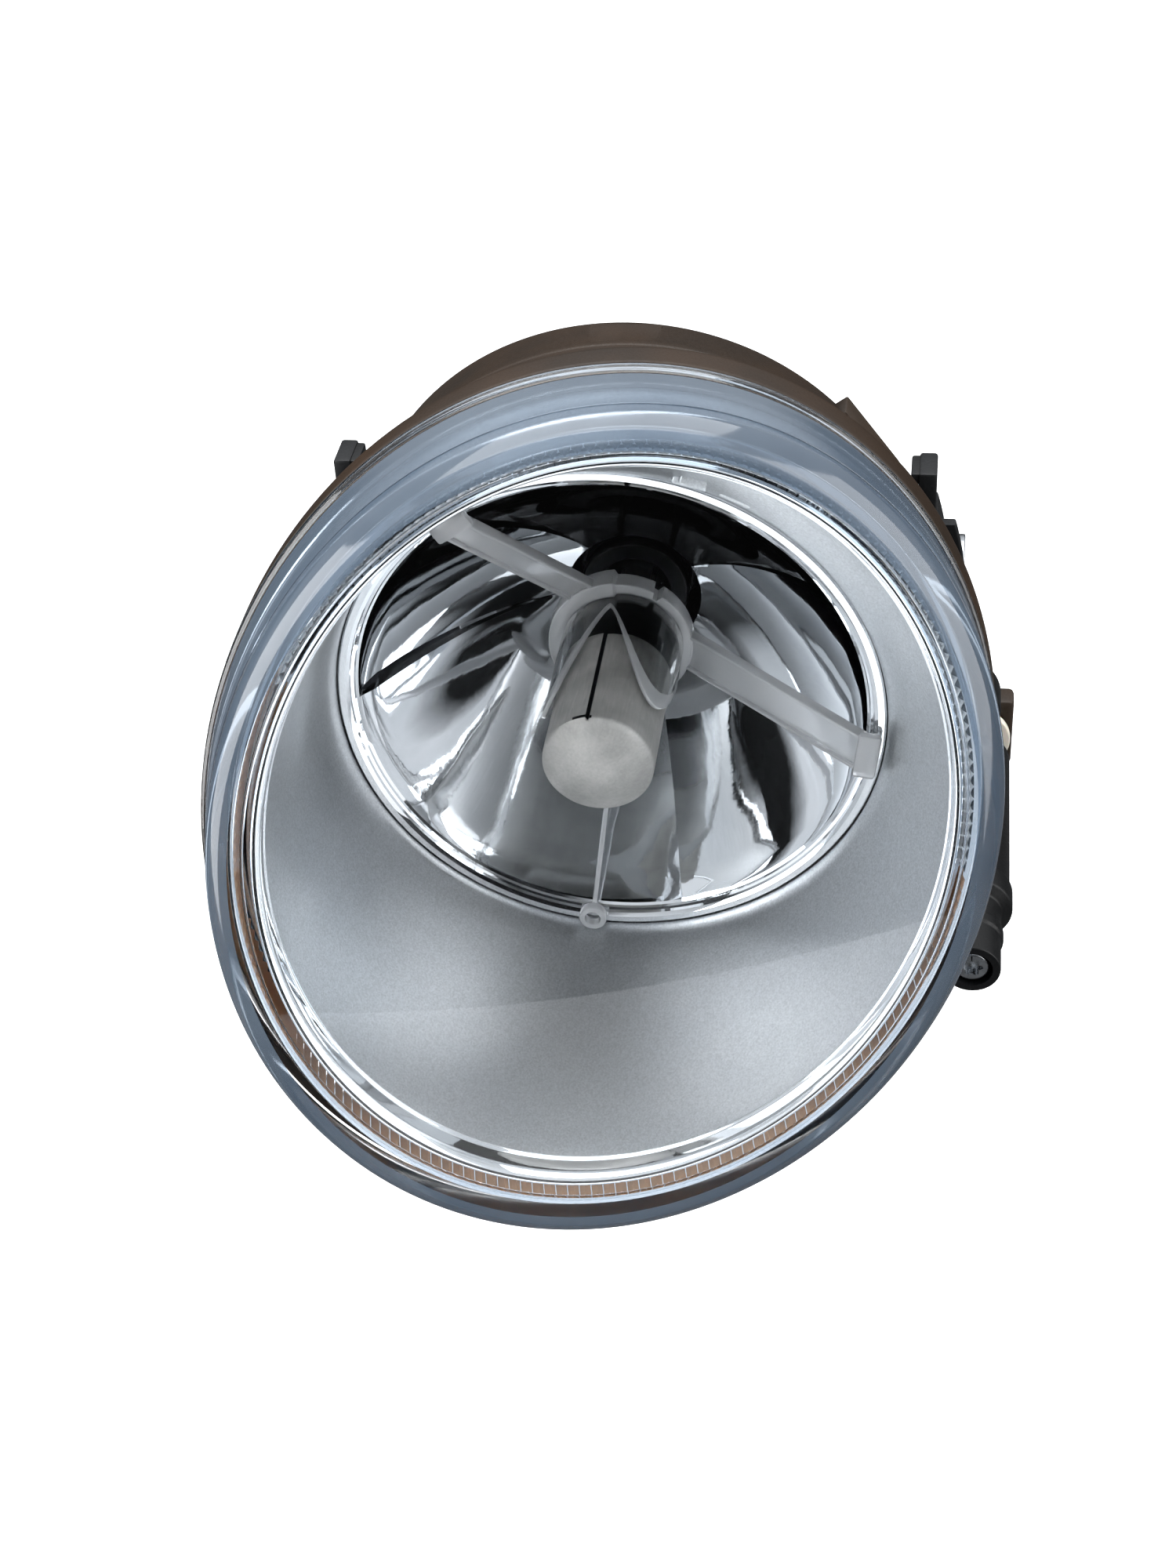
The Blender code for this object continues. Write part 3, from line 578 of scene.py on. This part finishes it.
reflector = {"focal": 11.8, "mouth": 42.0, "z": 46.0, "neck": 11.5, "wall": 2.6, "reach": 40.6,
             # the facets' relief grows from one radius over a width, and dies out to another
             "grow": (13, 22), "fade": (41.2, 2.4),
             # each facet: where it starts, and how far it stands off at its start, middle and end
             "facets": [(30, -1.6, -2.4, -1.7), (130, 0.9, -0.5, -1.2), (180, 1.3, -0.6, -1.1),
                        (285, 1.3, -0.5, -0.2)]}


def bowlHeight(radius):
    vertex = reflector["z"] - reflector["mouth"] ** 2 / (4 * reflector["focal"])
    return vertex + radius ** 2 / (4 * reflector["focal"])


def facetLift(angle, radius):
    facets = reflector["facets"]
    spot = (angle - facets[0][0]) % 360 + facets[0][0]
    index = max(i for i, facet in enumerate(facets) if facet[0] <= spot + 1e-6)
    start, first, middle, last = facets[index]
    end = facets[index + 1][0] if index + 1 < len(facets) else facets[0][0] + 360
    t = (spot - start) / (end - start)
    lift = first * (1 - t) * (1 - 2 * t) + middle * 4 * t * (1 - t) + last * t * (2 * t - 1)
    (root, width), (edge, fall) = reflector["grow"], reflector["fade"]
    return lift * min(max((radius - root) / width, 0), 1) * min(max((edge - radius) / fall, 0), 1)


def buildReflector():
    neck, reach, wall, steps = reflector["neck"], reflector["reach"], reflector["wall"], 34
    ridges = [facet[0] for facet in reflector["facets"]]
    turns = [float(t) for t in range(0, 360, 2) if all(abs(t - ridge) > 0.6 for ridge in ridges)]
    turns = sorted(turns + [ridge + side for ridge in ridges for side in (-0.35, 0.001)])
    radii = [neck + (reach - neck) * i / steps for i in range(steps + 1)]
    inside = [(r, bowlHeight(r)) for r in radii]
    lip = [(40.9, 44.3), (41.3, 44.6), (41.5, 45.0), (41.9, 45.15), (42.1, 45.6), (42.5, 45.85), (42.7, 46.0),
           (43.7, 46.0), (44.0, 45.7), (44.0, 43.6)]
    radii = [42 + (13.5 - 42) * i / 10 for i in range(11)]
    outside = [(r, bowlHeight(r) - wall) for r in radii]
    section = inside + lip + outside + [(13.5, 3.0), (neck, 3.0)]

    def warp(angle, r, z):
        onBowl = z >= bowlHeight(r) - 0.01 and r < reach + 0.1
        return (r, z + facetLift(angle, r)) if onBowl else (r, z)

    bowl = spun(section, warp=warp, turns=turns)
    # the top facet, from the first ridge to the second, takes the dark chrome, a painted reflection of the
    # dark neck and bulb
    for face in bowl.faces:
        spot = face.calc_center_median()
        angle = math.degrees(math.atan2(spot.y, spot.x))
        inside = face.normal.z > 0.1 and math.hypot(spot.x, spot.y) < reach
        face.material_index = int(inside and ridges[0] < angle < ridges[1])
    addPiece("reflector_bowl", [bowl], ["vacuumChrome", "smokedChrome"], "lamp", ["reflector"],
             25)


buildBezel()
buildReflector()
print("bezel and reflector made")


# Bulb shield and its clear holder

shield = {"radius": 8.8, "back": 36.5, "shoulder": 59.7, "tip": 63.2, "wall": 0.5,
          # the rolled sheet's seam: its angle, the half width of the dark slit painted as shade, and the span
          # of the notch painted as shade
          "seam": 98, "slit": 2, "paintedShadeNotch": (-4, 16)}


def buildShield():
    steps = 12
    radius, shoulder, rise = shield["radius"], shield["shoulder"], shield["tip"] - shield["shoulder"]
    radii = [8.5 * i / steps for i in range(steps + 1)]
    dome = [(r, shield["tip"] - rise * (r / radius) ** 1.7) for r in radii]
    side = [(8.75, shoulder - 0.15), (radius, shoulder - 0.8)]
    side += [(radius, z) for z in (54, 48, 42, 38)] + [(radius, shield["back"] + 0.2), (8.65, shield["back"])]
    inner = radius - shield["wall"]
    inside = [(inner, shield["back"]), (inner, shoulder - 1.0)]
    inside += [(r * 0.93, z - shield["wall"]) for r, z in reversed(dome)]

    def warp(angle, r, z):
        # one edge of the rolled sheet stands proud of the other, with a slit between them; the slit's dark is
        # painted shade, given with the faces below
        away = (angle - shield["seam"] + 180) % 360 - 180
        if r < 8.4 or z > shoulder - 0.1:
            return r, z
        if abs(away) < 1.4:
            return r - 0.42, z
        return r + (0.22 * max(0, 1 - away / 60) if away > 0 else 0), z

    cup = spun(dome + side + inside, 180, warp)
    # painted shade: faces in the seam's slit, and a band at the shoulder standing for a notch that is not
    # cut, take the black finish where shade would fall
    for face in cup.faces:
        spot = face.calc_center_median()
        away = (math.degrees(math.atan2(spot.y, spot.x)) - shield["seam"] + 180) % 360 - 180
        slit = spot.z < shoulder and abs(away) < shield["slit"]
        paintedShadeNotch = abs(spot.z - shoulder + 0.5) < 0.5 and shield["paintedShadeNotch"][0] < away < shield["paintedShadeNotch"][1]
        face.material_index = int(Vector(spot[:2]).length > 8.2 and (slit or paintedShadeNotch))
    addPiece("shield_cup", [cup], ["drawnSteel", "blackCoat"], "lamp", ["bulb_shield"], 40)


holder = {"collar": 24.8, "inner": 9.3, "arms": (123, 264, 352), "armWidths": (5.0, 0.8, 6.6),
          "petals": (38, 158, 278), "petalTip": 52.0, "petalRoot": 30.0}


def buildHolder():
    inner, collarZ = holder["inner"], holder["collar"]

    def collarWarp(angle, r, z):
        # the upper left of the collar is thicker, and a notch splits its right side
        thick = 95 < angle < 240
        if r > inner + 0.6:
            r += 0.9 if thick else 0.0
            if abs(angle - 58) < 3.1:
                r -= 1.2
        if thick and z > collarZ + 0.5:
            z += 0.9
        return r, z

    collar = sleeve(11.5, inner, 26.6, 23.0, 180, 0.3, collarWarp)

    def petalWarp(angle, r, z):
        # three tongues with round ends, and valleys between them
        if z < 26:
            return r, z
        nearest = min(abs((angle - a + 180) % 360 - 180) for a in holder["petals"])
        share = math.cos(math.radians(min(nearest / 60, 1) * 90)) ** 1.3
        top = holder["petalRoot"] + (holder["petalTip"] - holder["petalRoot"]) * share
        return r + 0.25 * share, 26 + (z - 26) * (top - 26) / 26

    near, far = inner + 0.05, inner + 0.65
    # the tongues' ends take the satin finish
    rows = [52, 50.5, 48, 44, 40, 36, 31, 26, 25.2]
    walls = [(far, z, 2 * (z > 50)) for z in rows] + [(near, z, 2 * (z > 50)) for z in reversed(rows)]
    petals = spun(rounded(walls, 0.2), 180, petalWarp)
    # a black sleeve between collar and cup: painted shade standing in for the dark seen there
    paintedShadeSleeve = sleeve(8.5, 8.2, 37.0, 25.0, 96, 0.1)
    for face in paintedShadeSleeve.faces:
        face.material_index = 1
    addPiece("holder_petals", [petals, paintedShadeSleeve], ["clearPolycarbonate", "blackCoat", "satinPolycarbonate"],
             "lamp", [], 50)
    works = []
    start, end = Vector((10.2, 0, collarZ)), Vector((41.6, 0, 46.9))
    length = (end - start).length
    tilt = Matrix.Rotation(-math.atan2(end.z - start.z, end.x - start.x), 4, "Y")
    for angle, width in zip(holder["arms"], holder["armWidths"]):
        half = width / 2
        swing = Matrix.Rotation(math.radians(angle), 4, "Z") @ Matrix.Translation(start) @ tilt
        works.append(moved(block((0, -half, -0.7), (length, half, 0.5), 0.2), swing))
        if width < 2:
            # the thin arm ends in a ring
            works.append(shifted(sleeve(2.3, 1.3, 48.0, 46.35, 40, 0.2), *onCircle(42.0, angle)))
            continue
        for side in (-1, 1):
            low, high = sorted((side * (half - 0.7), side * (half + 0.02)))
            works.append(moved(block((0.9, low, -1.0), (length - 0.9, high, 1.1), 0.25), swing))
        foot = half + 0.9
        works.append(block((39.6, -foot, 46.35), (43.3, foot, 47.9), 0.6, angle))
    body = fused(collar, works)
    addPiece("holder_spider", [body], ["satinPolycarbonate"], "lamp", ["shield_holder"], 40)


buildShield()
buildHolder()
print("bulb shield and holder made")


# Bulb

bulb = {"radius": 5.8, "wall": 0.8, "tip": 46.5, "coatFrom": 25.6}


def tube(points, radius, sides=10):
    # A round wire along a path of points.
    path, rings = [Vector(point) for point in points], []
    for index, spot in enumerate(path):
        ahead = path[min(index + 1, len(path) - 1)] - path[max(index - 1, 0)]
        turn = ahead.to_track_quat("Z", "Y")
        rings.append([spot + turn @ Vector((*onCircle(radius, 360 * k / sides), 0)) for k in range(sides)])
    return lofted(rings)


def buildBulb():
    radius, inner, tip = bulb["radius"], bulb["radius"] - bulb["wall"], bulb["tip"]
    arc = [math.radians(a) for a in range(84, -1, -12)]
    centre = tip - radius
    outside = [(0, tip, 1)] + [(radius * math.cos(a), centre + radius * math.sin(a), 1) for a in arc]
    outside += [(radius, 34, 1), (radius, bulb["coatFrom"], 0), (radius, 12, 0), (radius, 5.0), (5.4, 4.2),
                (5.0, 4.2)]
    inside = [(inner, 5.0), (inner, bulb["coatFrom"])]
    inside += [(inner * math.cos(a), centre + inner * math.sin(a)) for a in reversed(arc)]
    glass = spun(outside + inside + [(0, tip - bulb["wall"])], 72)
    addPiece("bulb_tube", [glass], ["quartzGlass", "blackCoat"], "bulb", ["bulb_glass"], 50)

    coil = grown(woundCoil, {"Turns": 11.0, "Radius": 0.75, "Length": 5.2, "Wire": 0.16}, "tungsten")
    shifted(coil, 0, 0, 17.8)
    leads = [tube([(2.6, 0, 4.8), (2.6, 0, 12), (2.6, 0, 16.4), (2.2, 0, 17.4), (1.4, 0, 17.8),
                   (0.75, 0, 17.9)], 0.4),
             tube([(0.75, 0, 22.9), (0.2, 0, 23.6), (-1.2, 0, 24.3), (-2.2, 0, 24.3), (-2.6, 0, 23.4),
                   (-2.6, 0, 12), (-2.6, 0, 4.8)], 0.4)]
    addPiece("filament_coil", [coil, *leads], ["tungsten"], "bulb", ["filament"], 60)

    ferrule = spun(rounded([(9.0, 10.4), (9.2, 9.8), (9.2, 7.6), (8.9, 7.3), (8.9, 6.7), (9.2, 6.4),
                            (9.2, 3.8), (6.2, 3.8), (6.2, 10.4)], 0.2), 96)
    addPiece("ferrule_sleeve", [ferrule], ["blackedSteel"], "bulb", ["bulb_ferrule"])


bulbBase = {"grips": 36, "gripRadius": 20.1, "lugs": (30, 150, 270)}


def buildBulbBase():
    section = [(0, 3.4), (10.0, 3.4), (10.0, -6.0), (13.2, -6.0), (13.2, -12.2), (14.1, -12.2), (14.1, -18.8),
               (20.0, -18.8), (20.0, -22.0), (13.0, -22.0), (13.0, -33.0), (0, -33.0)]
    body = spun(rounded(section, 0.5), 96)
    joins = [block((12.0, -4.0, -8.5), (16.6, 4.0, -6.0), 0.4, angle) for angle in bulbBase["lugs"]]
    joins.append(block((-10.5, -30.0, -37.5), (10.5, 2.0, -23.5), 0.7))
    joins += [block((x - 0.6, -27.0, -38.3), (x + 0.6, -2.0, -37.0), 0.2) for x in (-7, 7)]
    joins.append(block((-3.0, -22.0, -38.9), (3.0, -17.5, -37.0), 0.5))
    cuts = [block((-8.5, -32.0, -35.5), (8.5, -18.0, -25.5), 0.6)]
    solid = fused(body, joins, cuts)
    grips = grown(barRing, {"Count": bulbBase["grips"], "Radius": bulbBase["gripRadius"], "Sides": 8,
                            "Depth": 0.4, "Width": 0.8, "Length": 2.7, "Height": -20.4}, "basePlastic")
    addPiece("base_moulding", [solid, grips], ["basePlastic"], "bulb", ["bulb_base"])
    ring = [(15.9 + 1.4 * math.cos(math.tau * i / 20), -15.3 - 1.4 * math.sin(math.tau * i / 20))
            for i in range(20)]
    addPiece("o_ring", [spun(ring, 96)], ["blackRubber"], "bulb", ["bulb_o_ring"])
    for name, x in (("left", -3.6), ("right", 3.6)):
        blade = block((x - 1.4, -26.5, -34.5), (x + 1.4, -18.3, -33.7), 0.0)
        for vertex in blade.verts:
            if vertex.co.y < -26:
                vertex.co.x = x + (vertex.co.x - x) * 0.6
        bmesh.ops.bevel(blade, geom=blade.edges[:], offset=0.12, segments=2, profile=0.5, affect="EDGES")
        addPiece(f"terminal_blade_{name}", [blade], ["tinnedBrass"], "bulb", [f"terminal_{name}"])


buildBulb()
buildBulbBase()
print("bulb made")


# Housing

housing = {"keepers": (30, 150, 270), "vent": (-27.0, 13.0), "ribs": 12}


def buildHousing():
    section = [(60.0, 65.7), (60.0, 61.2), (59.4, 60.0), (55.0, 60.0), (53.9, 58.6), (53.3, 52.0),
               (53.6, 51.7), (53.4, 48.0), (52.9, 47.7), (49.9, 24.0), (50.1, 23.6), (49.8, 21.0),
               (49.4, 20.6), (47.4, 4.0), (44.4, 0.5), (26.0, -3.5), (21.5, -5.0), (21.5, -18.5),
               (17.6, -18.5), (17.6, -3.2), (22.5, -1.2), (43.2, 2.4), (45.2, 4.7), (51.4, 60.0),
               (53.6, 64.0), (53.6, 65.4), (55.0, 65.4), (55.5, 62.0), (58.6, 62.0), (58.6, 65.7)]
    shell = leaned(spun(rounded(section, 0.5), 180), (4, 60), (0, 1), (0, rim["footShift"]))
    joins = [block((13.7, -5.5, -11.5), (19.0, 5.5, -9.0), 0.3, angle) for angle in housing["keepers"]]
    cuts = []
    for side in (-1, 1):
        joins.append(pivoted(disc(5.0, 4.0, 0.0, 48, 0.4), side, pivot["eye"] - 4.5))
        cuts.append(pivoted(disc(2.6, 8.0, 0.0, 32), side, pivot["eye"] - 3.6))
    joins += [
        block((-5.9, 40.0, 5.0), (5.9, 47.7, 13.6), 0.4),
        block((-3.6, 45.0, 14.5), (3.6, 49.6, 19.4), 0.3),
        block((43.0, -7.5, 4.5), (49.5, 7.5, 10.0), 0.4, 36),
        block((45.0, -4.5, 10.5), (50.2, 4.5, 15.5), 0.3, 36),
    ]
    low, high = adjust["nut"] - 2.5, adjust["nut"] + 2.5
    joins += [
        block((30.0, -4.5, low + 0.3), (adjust["reach"] - 6, 4.5, high - 0.3), 0.5, adjust["angle"]),
        block((30.8, -4.0, adjust["nut"]), (38.5, 4.0, -1.0), 0.5, adjust["angle"]),
        block((30.0, -0.8, adjust["nut"] - 1), (62.0, 0.8, high + 1.2), 0.3, adjust["angle"]),
        shifted(block((-6.6, -7.2, low), (6.6, 7.2, high), 0.9), adjust["x"], adjust["y"]),
        shifted(disc(3.0, -1.0, -9.5, 40, 0.3), *housing["vent"]),
    ]
    cuts += [
        shifted(block((-4.3, -5.2, -10), (4.3, 5.2, 10), 0.8), adjust["x"], adjust["y"], adjust["nut"]),
        shifted(disc(1.4, 5.0, -12.0, 24), *housing["vent"]),
    ]
    body = fused(shell, joins, cuts)
    ribs = grown(barRing, {"Count": housing["ribs"], "Radius": 31.0, "Sides": 4, "Depth": 9.8, "Width": 0.9,
                           "Length": 2.6, "Height": -2.9}, "housingPlastic")
    addPiece("housing_moulding", [body, ribs], ["housingPlastic"], "lamp", ["housing"], 30)


def buildVent():
    x, y = housing["vent"]
    cap = spun(rounded([(0, -12.2), (4.6, -12.2), (5.1, -11.5), (5.1, -4.5), (3.4, -4.5), (3.4, -10.0),
                        (0, -10.0)], 0.3), 60)
    grips = grown(barRing, {"Count": 20, "Radius": 4.95, "Sides": 6, "Depth": 0.33, "Width": 0.33,
                            "Length": 5.0, "Height": -8.0}, "blackRubber")
    addPiece("vent_cover", [shifted(work, x, y) for work in (cap, grips)], ["blackRubber"], "lamp",
             ["vent_cap"])


def buildPivots():
    for side, name in ((-1, "left"), (1, "right")):
        pin = spun(rounded([(0, 0), (2.3, 0), (2.3, 8.6), (4.2, 8.6), (4.2, 9.8), (0, 9.8)], 0.3), 48)
        addPiece(f"tilt_pin_{name}", [pivoted(pin, side, pivot["eye"] - 3.3)], ["zincSteel"], "lamp",
                 [f"pivot_pin_{name}"])
        bush = sleeve(3.6, 2.6, 4.7, 0, 48, 0.2)
        addPiece(f"tilt_bush_{name}", [pivoted(bush, side, pivot["eye"])], ["naturalNylon"], "carrier",
                 [f"pivot_bush_{name}"])


buildHousing()
buildVent()
buildPivots()
print("housing made")


# Carrier and adjuster

carrier = {"ears": {"left": 205, "lower": 270, "right": 335}, "earCircle": 61.5, "earRadius": 7.5,
           "earThickness": 6.5, "back": 0.5, "top": 15.0}


def buildCarrier():
    section = [(56.0, 11.0), (56.0, 9.0), (53.0, 9.0), (53.0, 0.5), (50.0, 0.5), (50.0, 11.0)]
    band = spun(rounded(section, 0.5), 180)
    top = block((-80, carrier["top"], -20), (80, 80, 30), 0)
    band = fused(band, (), [top])
    joins, cuts = [], []
    for angle in carrier["ears"].values():
        x, y = onCircle(carrier["earCircle"], angle)
        boss = disc(carrier["earRadius"], carrier["earThickness"], 0.0, 72, 0.5)
        joins.append(shifted(boss, x, y))
        joins.append(block((51.0, -6.8, 1.1), (carrier["earCircle"], 6.8, 6.0), 0.5, angle))
        for turn in (-6.8, 6.8):
            joins.append(block((52.0, -0.7, 1.4), (57.8, 0.7, 8.6), 0.25, angle + turn))
        cuts.append(shifted(disc(4.9, 10.0, -2.0, 48), x, y))
    for side in (-1, 1):
        joins.append(pivoted(disc(5.8, pivot["eyeLength"], 0, 60, 0.4), side, pivot["eye"]))
        # the post above the eye, and the hook that leans in at its top
        for near, far, y, z, edge in ((47.6, 50.6, (13.5, 23.0), (1.1, 8.5), 0.5),
                                      (46.3, 49.5, (20.6, 22.7), (1.6, 8.0), 0.4)):
            low, high = sorted((side * near, side * far))
            joins.append(block((low, y[0], z[0]), (high, y[1], z[1]), edge))
        cuts.append(pivoted(disc(3.9, 8.0, -2.0, 48), side, pivot["eye"]))
    front = adjust["head"] + 3.0
    tower = rounded([(0, front), (4.7, front), (4.7, 51.0), (5.1, 50.6), (5.1, 48.6), (4.7, 48.2),
                     (4.7, 43.6), (6.6, 42.6), (6.6, 38.0), (6.1, 37.4), (6.1, 0.5), (0, 0.5)], 0.35)
    joins.append(shifted(spun(tower, 72), adjust["x"], adjust["y"]))
    joins.append(block((51.0, -3.0, 1.1), (adjust["reach"], 3.0, 20.0), 0.5, adjust["angle"]))
    joins.append(block((66.0, -1.0, 8.0), (adjust["reach"], 1.0, 36.0), 0.3, adjust["angle"]))
    bore = adjust["shank"] + 0.3
    for hole in (disc(bore, 60.0, -2.0, 40), disc(3.4, 65.0, 54.5, 48)):
        cuts.append(shifted(hole, adjust["x"], adjust["y"]))
    addPiece("carrier_moulding", [fused(band, joins, cuts)], ["blackNylon"], "carrier", ["carrier"],
             30)
    for name, angle in carrier["ears"].items():
        x, y = onCircle(carrier["earCircle"], angle)
        bush = sleeve(4.6, 3.3, carrier["earThickness"], 0.0, 60, 0.25)
        addPiece(f"ear_sleeve_{name}", [shifted(bush, x, y)], ["zincSteel"], "carrier", [f"ear_bush_{name}"])


screw = {"pitch": 1.5, "threadTop": -3.0, "end": -20.0, "recess": 1.55, "lobe": 0.30}


def starCutter(top):
    corners = 48
    reach = [screw["recess"] + screw["lobe"] * math.cos(6 * math.tau * i / corners) for i in range(corners)]
    return lofted([[(*onCircle(r, 360 * i / corners), z) for i, r in enumerate(reach)]
                   for z in (top - 1.2, top + 1.0)])


def buildAdjuster():
    top, end, shank = adjust["head"] + 2.4, screw["end"], adjust["shank"]
    threadStep = 0.25
    rows = int((screw["threadTop"] - end) / threadStep)
    section = rounded([(0, top), (2.6, top), (2.9, top - 0.4), (2.9, adjust["head"]), (shank, adjust["head"]),
                       (shank, screw["threadTop"] + 1), (0, screw["threadTop"])], 0.2)[:-1]
    section += [(shank, screw["threadTop"] - threadStep * i) for i in range(rows + 1)]
    section += [(1.6, end - 1.2), (0, end - 1.2)]

    def warp(angle, r, z):
        if not end - 0.01 <= z <= screw["threadTop"] + 0.01:
            return r, z
        t = ((z + screw["pitch"] * angle / 360) / screw["pitch"]) % 1
        return r - 0.42 * (1 - abs(2 * t - 1)), z

    x, y = adjust["x"], adjust["y"]
    rod = fused(spun(section, 60, warp), (), [starCutter(top)])
    addPiece("aim_screw", [shifted(rod, x, y)], ["zincSteel"], "adjuster", ["adjuster_screw"])
    back = carrier["back"] - 0.3
    washer = spun(rounded([(5.0, back), (5.0, back - 0.6), (3.4, back - 1.2), (2.6, back - 1.2),
                           (2.6, back - 0.6), (3.2, back)], 0.15), 60)
    addPiece("aim_washer", [shifted(washer, x, y)], ["zincSteel"], "adjuster", ["adjuster_washer"])
    bore = shank + 0.3
    spool = rounded([(6.2, 4.6), (6.2, 3.1), (3.7, 3.1), (3.7, -3.1), (6.2, -3.1), (6.2, -4.6), (bore, -4.6),
                     (bore, 4.6)], 0.35)
    addPiece("aim_nut", [shifted(spun(spool, 72), x, y, adjust["nut"])], ["naturalNylon"], "nut",
             ["adjuster_nut"])


buildCarrier()
buildAdjuster()
print("carrier and adjuster made")


# Floor, light and camera

stage = {"floorZ": -0.55, "floorSize": 14.0, "floor": "#f6f6f6", "floorGlow": 0.6, "world": "#eceef1",
         "worldStrength": 1.2,
         # which way the doorway lies, and the cosines of its edge's outside and inside
         "doorway": (0.22, -0.94, 0.25), "doorwayEdge": (0.90, 0.955),
         # how bright the room is from straight down (0) through eye level (0.5) to straight up (1)
         "room": [(0.0, 0.25), (0.4, 0.06), (0.58, 0.05), (0.66, 0.65), (0.8, 1.0), (1.0, 1.0)]}
lights = {
    # name: place, aim, size across, power
    "topBox": ((0.0, 0.05, 1.2), (0, -0.04, 0), 1.1, 15),
    "leftBox": ((-1.15, -0.8, 0.5), (0, -0.04, 0), 1.4, 34),
    "rightBox": ((1.25, -0.5, 0.55), (0, -0.04, 0), 1.4, 20),
}
viewpoint = {"aim": (-0.0023, -0.0561, -0.0070), "distance": 0.40, "azimuth": 9.65, "elevation": 37.26,
             "roll": 3.55, "lens": 57.9}


def buildStage():
    half = stage["floorSize"] / 2
    mesh = bpy.data.meshes.new("floor")
    corners = [(-half, -half, 0), (half, -half, 0), (half, half, 0), (-half, half, 0)]
    mesh.from_pydata(corners, [], [(0, 1, 2, 3)])
    mesh.transform(Matrix.Translation((0, 0, stage["floorZ"])))
    floor = addObject("floor", mesh)
    paper = bpy.data.materials.new("white_paper")
    paper.use_nodes = True
    shader = paper.node_tree.nodes["Principled BSDF"]
    shader.inputs["Base Color"].default_value = linear(stage["floor"])
    shader.inputs["Roughness"].default_value = 0.9
    shader.inputs["Emission Color"].default_value = (1, 1, 1, 1)
    shader.inputs["Emission Strength"].default_value = stage["floorGlow"]
    mesh.materials.append(paper)
    # the paper is there for the camera alone; the lamp reflects the room's own lower half
    floor.visible_diffuse = floor.visible_glossy = False

    world = bpy.data.worlds.new("studio")
    scene.world = world
    world.use_nodes = True
    tree = world.node_tree
    # a bright ceiling, a dark band at eye level and a grey lower half
    around = addNode(tree, "ShaderNodeTexCoord")
    parts = addNode(tree, "ShaderNodeSeparateXYZ", {}, {"Vector": around.outputs["Generated"]})
    height = addNode(tree, "ShaderNodeMapRange", {"From Min": -1.0, "From Max": 1.0},
                     {"Value": parts.outputs["Z"]})
    room = addNode(tree, "ShaderNodeValToRGB", {}, {"Fac": height.outputs["Result"]})
    ramp = room.color_ramp
    for spot, _ in stage["room"][1:-1]:
        ramp.elements.new(spot)
    for element, (spot, level) in zip(ramp.elements, stage["room"]):
        element.position = spot
        element.color = (*[level * part for part in linear(stage["world"])[:3]], 1.0)
    soft = tree.nodes["Background"]
    tree.links.new(room.outputs["Color"], soft.inputs["Color"])
    # the room's open doorway, straight ahead of the lens, gives no light
    ahead = addNode(tree, "ShaderNodeVectorMath", {1: stage["doorway"]}, {0: around.outputs["Generated"]},
                    operation="DOT_PRODUCT")
    outer, inner = stage["doorwayEdge"]
    shade = addNode(tree, "ShaderNodeMapRange", {"From Min": outer, "From Max": inner, "To Min": 1.0,
                    "To Max": 0.02}, {"Value": ahead.outputs["Value"]})
    strength = addNode(tree, "ShaderNodeMath", {1: stage["worldStrength"]}, {0: shade.outputs["Result"]},
                       operation="MULTIPLY")
    tree.links.new(strength.outputs[0], soft.inputs["Strength"])
    white = addNode(tree, "ShaderNodeBackground", {"Strength": 1.0})
    seen = addNode(tree, "ShaderNodeLightPath")
    mixed = addNode(tree, "ShaderNodeMixShader", {}, {0: seen.outputs["Is Camera Ray"],
                    1: soft.outputs[0], 2: white.outputs[0]})
    tree.links.new(mixed.outputs[0], tree.nodes["World Output"].inputs["Surface"])

    for name, (place, aim, size, power) in lights.items():
        data = bpy.data.lights.new(name, "AREA")
        data.shape, data.size, data.energy = "SQUARE", size, power
        lamp = addObject(name, data)
        toward = Vector(aim) - Vector(place)
        turn = toward.to_track_quat("-Z", "Y").to_matrix().to_4x4()
        lamp.matrix_world = Matrix.Translation(place) @ turn

    data = bpy.data.cameras.new("camera")
    data.sensor_fit, data.sensor_height, data.lens = "VERTICAL", 36.0, viewpoint["lens"]
    data.clip_start = 0.01
    camera = addObject("camera", data)
    azimuth, elevation = math.radians(viewpoint["azimuth"]), math.radians(viewpoint["elevation"])
    back = Vector((math.sin(azimuth) * math.cos(elevation), -math.cos(azimuth) * math.cos(elevation),
                   math.sin(elevation)))
    turn = (-back).to_track_quat("-Z", "Y").to_matrix().to_4x4()
    place = Vector(viewpoint["aim"]) + back * viewpoint["distance"]
    roll = Matrix.Rotation(-math.radians(viewpoint["roll"]), 4, "Z")
    camera.matrix_world = Matrix.Translation(place) @ turn @ roll
    scene.camera = camera
    scene.view_settings.view_transform = "Standard"


buildStage()
print("stage made")
